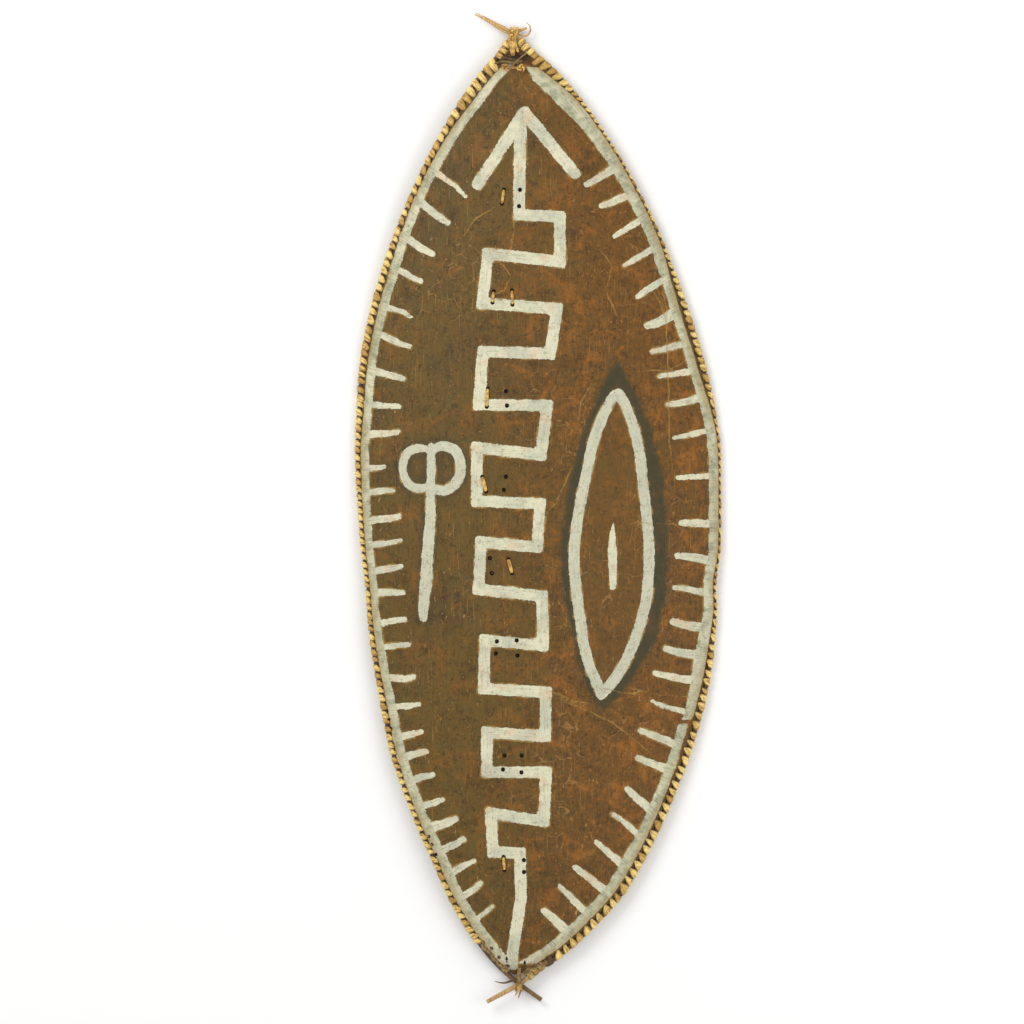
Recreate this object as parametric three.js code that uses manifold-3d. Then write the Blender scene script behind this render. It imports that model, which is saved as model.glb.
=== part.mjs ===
// A long pointed shield of raw hide, lying on its back with the painted face up.
// Millimetres: +Y runs to the top tip, +X to the right as the face is seen, +Z up.
// The hide is a shallow dome. A withy runs up each side of it, and the two cross at both tips.
// A rawhide strip laces each withy to the edge. A stave down the back is tied through the hide
// at eight places and at both tips, and arches away in the middle to make the handgrip.

import * as THREE from "three";
import { mergeVertices } from "three/addons/utils/BufferGeometryUtils.js";
import Module from "manifold-3d";

// Hide: its outline swells from each tip to the widest place of each side. A hand cut it, so
// here and there a side is a few millimetres fuller or leaner.
const hideLength = 1208;
const hideThickness = 4.5;
const roundness = 0.08;
const left = {
  sign: -1,
  width: 198,
  widestAt: 135,
  topSwell: 1.46,
  bottomSwell: 2.22,
  blunt: 0.77,
  uneven: [
    { at: 75, fuller: 3, over: 55 },
    { at: -100, fuller: -2.8, over: 45 },
    { at: -315, fuller: 4, over: 55 },
    { at: -455, fuller: -4.5, over: 35 },
  ],
};
const right = {
  sign: 1,
  width: 262,
  widestAt: 48,
  topSwell: 1.41,
  bottomSwell: 2.44,
  blunt: 0.705,
  uneven: [
    { at: 372, fuller: 2.6, over: 50 },
    { at: -92, fuller: -4.5, over: 28 },
    { at: -220, fuller: 2.2, over: 50 },
    { at: -385, fuller: -3.2, over: 50 },
    { at: -500, fuller: 5.5, over: 30 },
  ],
};

// Dome: how far the tips and the widest places of the sides lie below the crown.
const lengthBow = 51;
const sideBow = 56;

// The edge is bent back a little all round, and most on the upper right.
const turnBand = 24;
const edgeTurn = 1.5;
const curlDepth = 5;
const curlAt = 330;
const curlSpread = 170;

// Withies: they lie outside the edge, a little below its middle, and leave it near the tips.
const withyRadius = 3.4;
const withySink = 1.5;
const withyEndInset = 14;

// Lacing: a strip wound through the edge of the hide and round the withy. It stops short of
// where the withy leaves the edge, and its lowest turns on the left are gone.
const lacingReach = 7;
const lipMargin = 1;
const stripThickness = 1.6;
const grooveThickness = 0.5;
const turnPitch = 12.5;
const lacingStopsShort = 2;
const goneAtBottomLeft = 29;

// Clearance between pieces that touch.
const fitGap = 0.4;

// Withies at the tips: where they cross, the gap from there to the hide, and how far each end
// sticks out.
const topCrossing = { x: -2, gap: 10.5 };
const bottomCrossing = { x: 6, gap: 4.5 };
const crossingSpread = 2.2;
const leftTails = { top: { length: 20, angle: 27 }, bottom: { length: 36, angle: -36 } };
const rightTails = { top: { length: 56, angle: 152 }, bottom: { length: 48, angle: -151 } };

// Stave down the back. Its line bends to the left, as a grown stick does.
const staveWidth = 18;
const staveThickness = 15;
const staveChamfer = 3.5;
const staveEndShare = 0.62;
const staveTaper = 70;
const staveEndInset = 16;
const staveBend = 26;
const staveBendAt = 50;
const staveBendSpread = 265;

// Handgrip: the stave's arch away from the hide.
const gripAt = -17;
const gripFlat = 58;
const gripRise = 85;
const gripClear = 32;

// Ties that hold the stave: thong loops through pairs of awl holes.
// The steps are shared out from the grip to the end tie, as unevenly as a hand spaced them.
const gripSpan = 107;
const topSteps = [111, 131, 129, 172];
const bottomSteps = [107, 150, 132, 121];
const endTieInset = 8;
const holeSize = 4;
const holesApart = 17;
const tieGather = 0.67;
const thongSize = 2.2;
const thongSlack = 0.6;
const endTieNarrowing = 0.85;
const tipThongWidth = 5;
const tipThongThickness = 1.8;

// Facets
const rimStations = 34;
const tipRows = 2;
const panelsPerSide = 4;
const seatShare = 0.6;
const withySides = 6;
const tailSteps = 4;
const lacingFacet = 60;
const lacingFirstFacet = 80;
const staveStep = 56;
const tolerance = 1e-6;

const halfLength = hideLength / 2;
const halfHide = hideThickness / 2;
const crossingRise = withyRadius + fitGap / 2;
const withyOut = withyRadius + fitGap;

const wasm = await Module();
wasm.setup();

const vec = (x, y, z) => new THREE.Vector3(x, y, z);
const clamp = THREE.MathUtils.clamp;
const lerp = THREE.MathUtils.lerp;

// Triangles are collected as flat lists of corners, and those with two equal corners are dropped.
function addTriangle(list, a, b, c) {
  const apart = Math.min(a.distanceTo(b), b.distanceTo(c), c.distanceTo(a));
  if (apart > tolerance) list.push(a, b, c);
}

function addQuad(list, a, b, c, d) {
  addTriangle(list, a, b, c);
  addTriangle(list, a, c, d);
}

// Fills the band between two lines of points whose positions along the band are given by s.
function addBand(list, lineA, lineB) {
  let i = 0;
  let j = 0;
  while (i < lineA.length - 1 || j < lineB.length - 1) {
    const nextA = i < lineA.length - 1 ? lineA[i + 1].s : Infinity;
    const nextB = j < lineB.length - 1 ? lineB[j + 1].s : Infinity;
    if (nextA <= nextB) {
      addTriangle(list, lineA[i].p, lineA[i + 1].p, lineB[j].p);
      i += 1;
    } else {
      addTriangle(list, lineA[i].p, lineB[j + 1].p, lineB[j].p);
      j += 1;
    }
  }
}

// A closed geometry from the triangles, turned so that its faces point out.
function closedGeometry(list) {
  let volume = 0;
  for (let i = 0; i < list.length; i += 3) {
    volume += list[i].dot(list[i + 1].clone().cross(list[i + 2]));
  }
  const corners = list.slice();
  if (volume < 0) corners.reverse();
  const geometry = new THREE.BufferGeometry();
  const positions = corners.flatMap((p) => [p.x, p.y, p.z]);
  geometry.setAttribute("position", new THREE.Float32BufferAttribute(positions, 3));
  return geometry;
}

function toManifold(geometry) {
  const merged = mergeVertices(geometry, 1e-3);
  const triVerts = new Uint32Array(merged.index.array);
  return new wasm.Manifold(
    new wasm.Mesh({ numProp: 3, vertProperties: merged.attributes.position.array, triVerts }),
  );
}

function fromManifold(made) {
  const { numProp, vertProperties, triVerts } = made.getMesh();
  const positions = [];
  for (let i = 0; i < vertProperties.length; i += numProp) {
    positions.push(vertProperties[i], vertProperties[i + 1], vertProperties[i + 2]);
  }
  const geometry = new THREE.BufferGeometry();
  geometry.setAttribute("position", new THREE.Float32BufferAttribute(positions, 3));
  geometry.setIndex(Array.from(triVerts));
  return geometry;
}

// A solid through a row of rings that all have the same number of corners.
function loft(rings, closed) {
  const list = [];
  const count = rings[0].length;
  const spans = closed ? rings.length : rings.length - 1;
  for (let i = 0; i < spans; i += 1) {
    const a = rings[i];
    const b = rings[(i + 1) % rings.length];
    for (let k = 0; k < count; k += 1) {
      const next = (k + 1) % count;
      addQuad(list, a[k], a[next], b[next], b[k]);
    }
  }
  if (!closed) {
    const last = rings[rings.length - 1];
    for (let k = 1; k < count - 1; k += 1) {
      addTriangle(list, rings[0][0], rings[0][k + 1], rings[0][k]);
      addTriangle(list, last[0], last[k], last[k + 1]);
    }
  }
  return closedGeometry(list);
}

// A strip of rectangular section along straight runs with mitred corners. flat is the way that
// its broad face looks on the first run.
function strip(path, width, thickness, flat, closed) {
  const runs = path.length - (closed ? 0 : 1);
  const ways = [];
  for (let k = 0; k < runs; k += 1) {
    ways.push(path[(k + 1) % path.length].clone().sub(path[k]).normalize());
  }
  const up = flat.clone().addScaledVector(ways[0], -flat.dot(ways[0])).normalize();
  const across = ways[0].clone().cross(up);
  const rings = path.map((point, k) => {
    const into = k > 0 ? ways[k - 1] : closed ? ways[runs - 1] : ways[0];
    const out = k < runs ? ways[k] : ways[runs - 1];
    if (k > 0 && k < runs) {
      const bend = new THREE.Quaternion().setFromUnitVectors(into, out);
      up.applyQuaternion(bend);
      across.applyQuaternion(bend);
    }
    const mitre = into.clone().add(out).normalize();
    return [[-1, -1], [1, -1], [1, 1], [-1, 1]].map(([a, u]) => {
      const corner = across.clone().multiplyScalar((a * width) / 2).addScaledVector(up, (u * thickness) / 2);
      const slide = -corner.dot(mitre) / out.dot(mitre);
      return point.clone().add(corner).addScaledVector(out, slide);
    });
  });
  return loft(rings, closed);
}

// Half width of the hide on one side at height y.
function halfWidth(side, y) {
  const upper = y > side.widestAt;
  const reach = upper ? halfLength - side.widestAt : halfLength + side.widestAt;
  const soften = (share) => Math.hypot(share, roundness) - roundness;
  const share = soften(Math.min(1, Math.abs(y - side.widestAt) / reach)) / soften(1);
  const swell = (1 - share ** (upper ? side.topSwell : side.bottomSwell)) ** side.blunt;
  const bump = (sum, { at, fuller, over }) => sum + fuller * Math.exp(-(((y - at) / over) ** 2));
  return side.uneven.reduce(bump, side.width) * swell;
}

// Distance in from the edge, measured square to it.
function insetAt(side, x, y) {
  const step = 0.5;
  const slope = (halfWidth(side, y + step) - halfWidth(side, y - step)) / (2 * step);
  return (halfWidth(side, y) - Math.abs(x)) / Math.hypot(1, slope);
}

// The middle of the hide's thickness: a dome whose edge is bent down.
function surfaceHeight(x, y) {
  const side = x < 0 ? left : right;
  const sideways = sideBow - lengthBow * (side.widestAt / halfLength) ** 2;
  const dome = -lengthBow * (y / halfLength) ** 2 - sideways * (x / side.width) ** 2;
  const curl = side === right ? curlDepth * Math.exp(-(((y - curlAt) / curlSpread) ** 2)) : 0;
  const share = clamp(1 - insetAt(side, x, y) / turnBand, 0, 1);
  return dome - (edgeTurn + curl) * share ** 2;
}

const onSurface = (x, y) => vec(x, y, surfaceHeight(x, y));

function surfaceNormal(x, y) {
  const step = 1;
  const slopeX = (surfaceHeight(x + step, y) - surfaceHeight(x - step, y)) / (2 * step);
  const slopeY = (surfaceHeight(x, y + step) - surfaceHeight(x, y - step)) / (2 * step);
  return vec(-slopeX, -slopeY, 1).normalize();
}

// Stations up one side of the rim. Each has the edge point, the line of lacing holes inside it,
// and a frame: along the rim, out over the edge, and up from the face.
const stationHeights = Array.from(
  { length: rimStations + 1 },
  (_, i) => -halfLength * Math.cos((Math.PI * i) / rimStations),
);

function rimOf(side) {
  const plan = stationHeights.map((y) => new THREE.Vector2(side.sign * halfWidth(side, y), y));
  const edges = plan.map((p) => onSurface(p.x, p.y));
  let travelled = 0;
  return plan.map((p, i) => {
    const first = i === 0;
    const last = i === rimStations;
    const way = first || last
      ? new THREE.Vector2(first ? side.sign : -side.sign, 0)
      : plan[i + 1].clone().sub(plan[i - 1]).normalize();
    const inset = side.sign * (lacingReach + lipMargin);
    const lip = onSurface(p.x - way.y * inset, p.y + way.x * inset);
    const along = first || last ? vec(way.x, 0, 0) : edges[i + 1].clone().sub(edges[i - 1]).normalize();
    const out = edges[i].clone().sub(lip);
    out.addScaledVector(along, -out.dot(along)).normalize();
    const up = out.clone().cross(along).multiplyScalar(side.sign);
    if (i > 0) travelled += edges[i].distanceTo(edges[i - 1]);
    return { edge: edges[i], lip, along, out, up, s: travelled };
  });
}

const rims = new Map([[left, rimOf(left)], [right, rimOf(right)]]);

const place = (at, out, up) => at.edge.clone().addScaledVector(at.out, out).addScaledVector(at.up, up);

// The rim frame at any distance along the rim, between its stations.
function rimAt(side, s) {
  const rim = rims.get(side);
  const i = clamp(rim.findIndex((at) => at.s >= s), 1, rim.length - 1);
  const share = (s - rim[i - 1].s) / (rim[i].s - rim[i - 1].s);
  const between = (key) => rim[i - 1][key].clone().lerp(rim[i][key], share);
  return { edge: between("edge"), out: between("out"), up: between("up"), s };
}

function rimDistanceAt(side, y) {
  const rim = rims.get(side);
  const i = clamp(rim.findIndex((at) => at.edge.y >= y), 1, rim.length - 1);
  const share = (y - rim[i - 1].edge.y) / (rim[i].edge.y - rim[i - 1].edge.y);
  return lerp(rim[i - 1].s, rim[i].s, share);
}

// The distances of the stations between two heights, and of the two heights themselves.
function stationsBetween(side, fromY, toY) {
  const [from, to] = [rimDistanceAt(side, fromY), rimDistanceAt(side, toY)];
  return [from, ...rims.get(side).map((at) => at.s).filter((s) => s > from && s < to), to];
}

// Stave line and its arch.
const staveX = (y) => -staveBend * Math.exp(-(((y - staveBendAt) / staveBendSpread) ** 2));

function staveLift(y) {
  const past = Math.max(0, Math.abs(y - gripAt) - gripFlat / 2) / gripRise;
  return past < 1 ? gripClear * Math.cos((past * Math.PI) / 2) ** 2 : 0;
}

function staveSlope(y) {
  const step = 1;
  return (staveLift(y + step) - staveLift(y - step)) / (2 * step);
}

function staveShare(y) {
  const fromEnd = halfLength - staveEndInset - Math.abs(y);
  return lerp(staveEndShare, 1, clamp(fromEnd / staveTaper, 0, 1));
}

const isGrip = (y) => Math.abs(y - gripAt) <= gripFlat / 2 + tolerance;

// The middle of the stave at height y, with the way to the hide.
function staveAt(y) {
  const x = staveX(y);
  const onGrip = isGrip(y);
  const up = onGrip ? vec(0, 0, 1) : surfaceNormal(x, y);
  const share = staveShare(y);
  const depth = halfHide + fitGap + staveLift(y) + (staveThickness * share) / 2;
  const base = onSurface(x, y);
  if (onGrip) base.z = surfaceHeight(staveX(gripAt), gripAt);
  return { middle: base.addScaledVector(up, -depth), up, share };
}

// Heights of the tie rows on one arm of the stave, from the grip outwards.
const endTieAt = halfLength - staveEndInset - endTieInset;

function rowsTowards(sign, steps) {
  const nearest = gripAt + (sign * gripSpan) / 2;
  const whole = steps.reduce((sum, step) => sum + step, 0);
  const share = (sign * endTieAt - nearest) / whole;
  let travelled = 0;
  return steps.map((step) => {
    const y = nearest + share * travelled;
    travelled += step;
    return y;
  });
}

const tieRows = [...rowsTowards(1, topSteps).reverse(), ...rowsTowards(-1, bottomSteps)];
const thongSide = staveWidth / 2 + fitGap + thongSlack + thongSize / 2;

// The tips: where the withies cross, and the slot for the thong halfway to the stave's end.
const tips = [[1, topCrossing], [-1, bottomCrossing]].map(([sign, { x, gap }]) => ({
  sign,
  x,
  crossY: sign * (halfLength + gap + crossingSpread * withyRadius),
  slotY: sign * (halfLength - staveEndInset / 2),
}));
const [topTip, bottomTip] = tips;

function drillAt(x, y, width, length) {
  const up = surfaceNormal(x, y);
  const path = [-hideThickness, hideThickness].map((reach) => onSurface(x, y).addScaledVector(up, reach));
  return toManifold(strip(path, width, length, vec(0, 1, 0), false));
}

// Hide: rows of points between the two rims, and a cap that runs to each tip.
function hideGeometry() {
  const seatHalf = staveWidth / 2 + holeSize;
  const faces = { front: [], back: [] };
  const layers = (p, up) => ({
    x: p.x,
    front: p.clone().addScaledVector(up, halfHide),
    back: p.clone().addScaledVector(up, -halfHide),
  });
  const edgeLayers = (side, i) => {
    const tip = i === 0 || i === rimStations;
    const at = rims.get(side)[i];
    return layers(at.edge, tip ? surfaceNormal(0, at.edge.y) : at.up);
  };
  const rowAt = (i) => {
    const lips = [left, right].map((side) => rims.get(side)[i].lip);
    const innermost = i < rimStations / 2 ? Math.max : Math.min;
    const middleY = innermost(lips[0].y, lips[1].y);
    const middleX = staveX(middleY);
    const columns = [left, right].map((side, k) => {
      const lip = lips[k];
      const seat = Math.min(seatHalf, seatShare * Math.abs(lip.x - middleX));
      const points = [];
      for (let c = 0; c < panelsPerSide; c += 1) {
        const share = c / panelsPerSide;
        const x = lerp(middleX + side.sign * seat, lip.x, share);
        const y = lerp(middleY, lip.y, share);
        points.push(layers(onSurface(x, y), surfaceNormal(x, y)));
      }
      points.push(layers(lip, rims.get(side)[i].up), edgeLayers(side, i));
      return points;
    });
    const middle = layers(onSurface(middleX, middleY), surfaceNormal(middleX, middleY));
    return [...columns[0].reverse(), middle, ...columns[1]];
  };
  const firstRow = tipRows;
  const lastRow = rimStations - tipRows;
  const rows = [];
  for (let i = firstRow; i <= lastRow; i += 1) rows.push(rowAt(i));

  const asLine = (row, face) => row.map((v) => ({ s: v.x, p: v[face] }));
  const tipLine = (from, tip, face) => {
    const inward = Math.sign(from - tip);
    const line = [];
    for (let i = from; i !== tip; i -= inward) line.push(edgeLayers(left, i));
    for (let i = tip; i !== from + inward; i += inward) line.push(edgeLayers(right, i));
    return asLine(line, face);
  };
  for (const face of ["front", "back"]) {
    const list = faces[face];
    for (let r = 0; r < rows.length - 1; r += 1) {
      for (let c = 0; c < rows[r].length - 1; c += 1) {
        const [a, b] = [rows[r], rows[r + 1]];
        addQuad(list, a[c][face], a[c + 1][face], b[c + 1][face], b[c][face]);
      }
    }
    addBand(list, tipLine(firstRow, 0, face), asLine(rows[0], face));
    addBand(list, asLine(rows[rows.length - 1], face), tipLine(lastRow, rimStations, face));
  }
  faces.back.reverse();

  const wall = [];
  for (const side of [left, right]) {
    for (let i = 0; i < rimStations; i += 1) {
      const a = edgeLayers(side, i);
      const b = edgeLayers(side, i + 1);
      if (side === right) addQuad(wall, a.front, a.back, b.back, b.front);
      else addQuad(wall, a.back, a.front, b.front, b.back);
    }
  }
  return closedGeometry([...faces.front, ...faces.back, ...wall]);
}

function pierceHide(geometry) {
  const drills = [];
  const endTies = tips.map(({ sign }) => sign * endTieAt);
  const holeHeights = tieRows.flatMap((y) => [y - holesApart / 2, y + holesApart / 2]);
  for (const y of [...holeHeights, ...endTies]) {
    for (const sx of [-1, 1]) drills.push(drillAt(staveX(y) + sx * thongSide, y, holeSize, holeSize));
  }
  for (const { x, slotY } of tips) {
    drills.push(drillAt(x, slotY, tipThongWidth + 2 * fitGap, tipThongThickness + 2 * fitGap));
  }
  return fromManifold(drills.reduce((hide, drill) => hide.subtract(drill), toManifold(geometry)));
}

// Withies: along the rim, then past the hide's tip to the crossing and out to a free end.
function withyPath(side, tails) {
  const over = side === right ? crossingRise : -crossingRise;
  const line = stationsBetween(side, withyEndInset - halfLength, halfLength - withyEndInset)
    .map((s) => place(rimAt(side, s), withyOut, -withySink));
  const endPoints = (tip, tail, last, beforeLast) => {
    const cross = onSurface(tip.x, tip.crossY).add(vec(0, 0, over - withySink));
    const turn = THREE.MathUtils.degToRad(tail.angle);
    const free = cross.clone().add(vec(Math.cos(turn), Math.sin(turn), 0).multiplyScalar(tail.length));
    const points = [beforeLast, last, cross, free];
    const curve = new THREE.CatmullRomCurve3(points, false, "centripetal");
    return curve.getPoints((points.length - 1) * tailSteps).slice(tailSteps + 1);
  };
  const top = endPoints(topTip, tails.top, line[line.length - 1], line[line.length - 2]);
  const bottom = endPoints(bottomTip, tails.bottom, line[0], line[1]);
  return [...bottom.reverse(), ...line, ...top];
}

function withyGeometry(side, tails) {
  const path = withyPath(side, tails);
  const rings = path.map((point, k) => {
    const before = path[Math.max(0, k - 1)];
    const after = path[Math.min(path.length - 1, k + 1)];
    const along = after.clone().sub(before).normalize();
    const across = along.clone().cross(vec(0, 0, 1)).normalize();
    const up = across.clone().cross(along);
    return Array.from({ length: withySides }, (_, n) => {
      const turn = (2 * Math.PI * n) / withySides;
      return point.clone()
        .addScaledVector(across, withyRadius * Math.cos(turn))
        .addScaledVector(up, withyRadius * Math.sin(turn));
    });
  });
  return loft(rings, false);
}

// Lacing: a channel that takes in the hide's edge and the withy. Its outside rises at every turn
// of the strip and sinks between them.
function lacingGeometry(side, fromY, toY) {
  const stations = stationsBetween(side, fromY, toY);
  const from = stations[0];
  const length = stations[stations.length - 1] - from;
  const turns = Math.round(length / turnPitch);
  const fine = Array.from({ length: 2 * turns + 1 }, (_, k) => ({
    s: from + (length * k) / (2 * turns),
    thickness: k % 2 ? stripThickness : grooveThickness,
  }));
  const coarse = stations.map((s) => ({ s, thickness: grooveThickness }));
  const innerRadius = withyRadius + fitGap;
  const facet = THREE.MathUtils.degToRad(lacingFacet);
  const firstFacet = THREE.MathUtils.degToRad(lacingFirstFacet);
  const faceHeight = halfHide + fitGap;
  const around = (thickness, turn) => {
    const radius = (innerRadius + thickness) / Math.cos(facet / 2);
    const angle = firstFacet - turn * facet;
    return [withyOut + radius * Math.cos(angle), -withySink + radius * Math.sin(angle)];
  };
  const corner = (index, thickness) => {
    if (index === 0) return [-lacingReach, faceHeight + thickness];
    if (index === 5) return [-lacingReach, -faceHeight - thickness];
    const [out, up] = around(thickness, index - 1);
    return [out, index === 1 ? Math.max(up, faceHeight + thickness) : up];
  };
  const line = (points, index, inner) => points.map(({ s, thickness }) => {
    const [out, up] = corner(index, inner ? 0 : thickness);
    return { s, p: place(rimAt(side, s), out, up) };
  });
  const outside = [0, 1, 2, 3, 4, 5].map((index) => line(index < 4 ? fine : coarse, index, false));
  const inside = [0, 1, 2, 3, 4, 5].map((index) => line(coarse, index, true));
  const loop = [...outside, ...inside.slice().reverse()];
  const list = [];
  loop.forEach((points, k) => addBand(list, points, loop[(k + 1) % loop.length]));
  const start = (points) => points[0].p;
  const end = (points) => points[points.length - 1].p;
  for (let k = 0; k < outside.length - 1; k += 1) {
    addQuad(list, start(outside[k]), start(outside[k + 1]), start(inside[k + 1]), start(inside[k]));
    addQuad(list, end(outside[k]), end(inside[k]), end(inside[k + 1]), end(outside[k + 1]));
  }
  return closedGeometry(list);
}

// Stave: a whittled stick with chamfered corners. Its grip is one straight run.
function staveGeometry() {
  const end = halfLength - staveEndInset;
  const grip = gripFlat / 2;
  const marks = [
    { y: -end },
    { y: -end + staveTaper, step: staveStep },
    { y: gripAt - grip - gripRise, step: staveStep },
    { y: gripAt - grip, step: staveStep / 2 },
    { y: gripAt + grip, step: gripFlat },
    { y: gripAt + grip + gripRise, step: staveStep / 2 },
    { y: end - staveTaper, step: staveStep },
    { y: end, step: staveStep },
  ];
  const heights = [-end];
  for (let k = 1; k < marks.length; k += 1) {
    const run = marks[k].y - marks[k - 1].y;
    const steps = Math.ceil(run / marks[k].step - tolerance);
    for (let n = 1; n <= steps; n += 1) heights.push(marks[k - 1].y + (run * n) / steps);
  }
  const middles = heights.map((y) => staveAt(y));
  const rings = middles.map(({ middle, up, share }, k) => {
    const before = middles[Math.max(0, k - 1)].middle;
    const after = middles[Math.min(middles.length - 1, k + 1)].middle;
    const along = isGrip(heights[k]) ? vec(0, 1, 0) : after.clone().sub(before).normalize();
    const across = along.clone().cross(up).normalize();
    const rise = across.clone().cross(along);
    const w = (staveWidth * share) / 2;
    const h = (staveThickness * share) / 2;
    const c = staveChamfer * share;
    const outline = [
      [w, -h + c], [w, h - c], [w - c, h], [-w + c, h],
      [-w, h - c], [-w, -h + c], [-w + c, -h], [w - c, -h],
    ];
    return outline.map(([a, u]) => middle.clone().addScaledVector(across, a).addScaledVector(rise, u));
  });
  return loft(rings, false);
}

// Where a thong turns above and below the hide at a hole, and where it turns behind the stave.
function tieCorners(sx, y, underY, narrowing) {
  const turn = halfHide + fitGap + thongSize / 2;
  const x = staveX(y) + sx * thongSide;
  const up = surfaceNormal(x, y);
  const hole = onSurface(x, y);
  const stave = staveAt(underY);
  const slope = Math.abs(staveSlope(underY));
  const behind = ((staveThickness * stave.share) / 2) * Math.hypot(1, slope)
    + fitGap + thongSlack + (thongSize / 2) * (1 + slope);
  const under = stave.middle.clone().addScaledVector(stave.up, -behind);
  under.x += sx * thongSide * narrowing;
  return [hole.clone().addScaledVector(up, turn), hole.clone().addScaledVector(up, -turn), under];
}

// One tie row: a closed thong that shows as two short stitches on the face and runs behind the stave.
function tieGeometry(y) {
  const half = holesApart / 2;
  const corners = (sx, sy) => tieCorners(sx, y + sy * half, y + sy * half * tieGather, 1);
  const path = [
    ...corners(-1, -1),
    ...corners(1, -1).reverse(),
    ...corners(1, 1),
    ...corners(-1, 1).reverse(),
  ];
  return strip(path, thongSize, thongSize, vec(1, 0, 0), true);
}

// The tie at each end of the stave: one stitch across the face.
function endTieGeometry(sign) {
  const y = sign * endTieAt;
  const corners = (sx) => tieCorners(sx, y, y, endTieNarrowing);
  return strip([...corners(1), ...corners(-1).reverse()], thongSize, thongSize, vec(1, 0, 0), true);
}

// Tip thong: through a slot in the hide's tip and round the two crossed withies.
function tipThongGeometry({ sign, x, crossY, slotY }) {
  const level = surfaceHeight(x, crossY) - withySink;
  const clear = fitGap + tipThongThickness / 2;
  const turn = halfHide + clear;
  const slot = onSurface(x, slotY);
  const slotUp = surfaceNormal(x, slotY);
  const stack = crossingRise + withyRadius + clear;
  const girth = crossingSpread * withyRadius + clear;
  const corner = (out, up) => vec(x, crossY + sign * out, level + up);
  const path = [
    slot.clone().addScaledVector(slotUp, turn),
    corner(-girth / 2, stack),
    corner(girth / 2, stack),
    corner(girth, crossingRise),
    corner(girth, -crossingRise),
    corner(girth / 2, -stack),
    corner(-girth / 2, -stack),
    corner(-girth, -crossingRise),
    slot.clone().addScaledVector(slotUp, -turn),
  ];
  return strip(path, tipThongWidth, tipThongThickness, vec(0, 0, 1), true);
}

const finish = (color, roughness) => new THREE.MeshStandardMaterial({ color, roughness, metalness: 0 });
const hideFinish = finish(0x6a4626, 0.72);
const withyFinish = finish(0x8c6a3e, 0.7);
const lacingFinish = finish(0xc99b4f, 0.5);
const staveFinish = finish(0x6f4b2c, 0.6);
const thongFinish = finish(0xb98c4a, 0.6);

const shield = new THREE.Group();
function add(name, geometry, material) {
  const mesh = new THREE.Mesh(geometry, material);
  mesh.name = name;
  shield.add(mesh);
}

add("hide", pierceHide(hideGeometry()), hideFinish);
add("handle_stave", staveGeometry(), staveFinish);
add("left_withy", withyGeometry(left, leftTails), withyFinish);
add("right_withy", withyGeometry(right, rightTails), withyFinish);
const lacingEnd = halfLength - withyEndInset - lacingStopsShort;
add("left_lacing", lacingGeometry(left, goneAtBottomLeft - lacingEnd, lacingEnd), lacingFinish);
add("right_lacing", lacingGeometry(right, -lacingEnd, lacingEnd), lacingFinish);
tieRows.forEach((y, k) => add(`stave_tie_${k + 1}`, tieGeometry(y), thongFinish));
add("stave_end_tie_top", endTieGeometry(1), thongFinish);
add("stave_end_tie_bottom", endTieGeometry(-1), thongFinish);
add("tip_thong_top", tipThongGeometry(topTip), thongFinish);
add("tip_thong_bottom", tipThongGeometry(bottomTip), thongFinish);

// The origin is under the middle of the shield, on the surface that it lies on.
const box = new THREE.Box3().setFromObject(shield);
const middle = box.getCenter(vec(0, 0, 0));
shield.position.set(-middle.x, -middle.y, -box.min.z);

export default shield;
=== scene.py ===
# A long painted hide shield, seen from straight above as it lies face up.
# Shapes are worked out in millimetres on the shield's own plan, with the stave line near x = 0 and
# the middle of the hide at y = 0, and are then set into the CAD model's frame in metres.

import bpy
import numpy as np
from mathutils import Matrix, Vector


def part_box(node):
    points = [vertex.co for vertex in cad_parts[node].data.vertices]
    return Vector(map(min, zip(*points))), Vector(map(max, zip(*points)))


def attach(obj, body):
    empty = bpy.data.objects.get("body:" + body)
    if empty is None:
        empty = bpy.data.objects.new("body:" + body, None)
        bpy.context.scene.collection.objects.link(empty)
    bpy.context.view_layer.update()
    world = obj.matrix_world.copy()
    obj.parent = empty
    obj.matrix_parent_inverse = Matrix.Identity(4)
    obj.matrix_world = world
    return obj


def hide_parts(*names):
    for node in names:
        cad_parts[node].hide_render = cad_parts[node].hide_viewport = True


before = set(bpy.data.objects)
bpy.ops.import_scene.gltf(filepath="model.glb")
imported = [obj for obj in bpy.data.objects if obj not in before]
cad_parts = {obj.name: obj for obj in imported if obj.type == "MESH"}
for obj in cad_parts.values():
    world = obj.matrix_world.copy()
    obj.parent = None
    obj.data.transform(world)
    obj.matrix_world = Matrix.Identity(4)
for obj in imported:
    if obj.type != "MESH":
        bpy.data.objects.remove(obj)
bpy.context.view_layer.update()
mm = 0.001
rng = np.random.default_rng(17)

# The photograph: which pixel lies over the plan's zero, and the size of a pixel in millimetres.
photo = {"zero": (514.5, 511.5), "pixel": 1.3, "middle": 512, "pixels": 1024}


def toPlan(pixels):
    # pixels to plan millimetres: right and up from the plan's zero
    steps = np.asarray(pixels, float).reshape(-1, 2) - photo["zero"]
    return steps * [photo["pixel"], -photo["pixel"]]


def alongHeight(y, knots):
    # straight lines between given knots of (pixel row, value), read at plan height y
    rows, values = np.array(knots, float).T
    return np.interp(photo["zero"][1] - y / photo["pixel"], rows, values)


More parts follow.
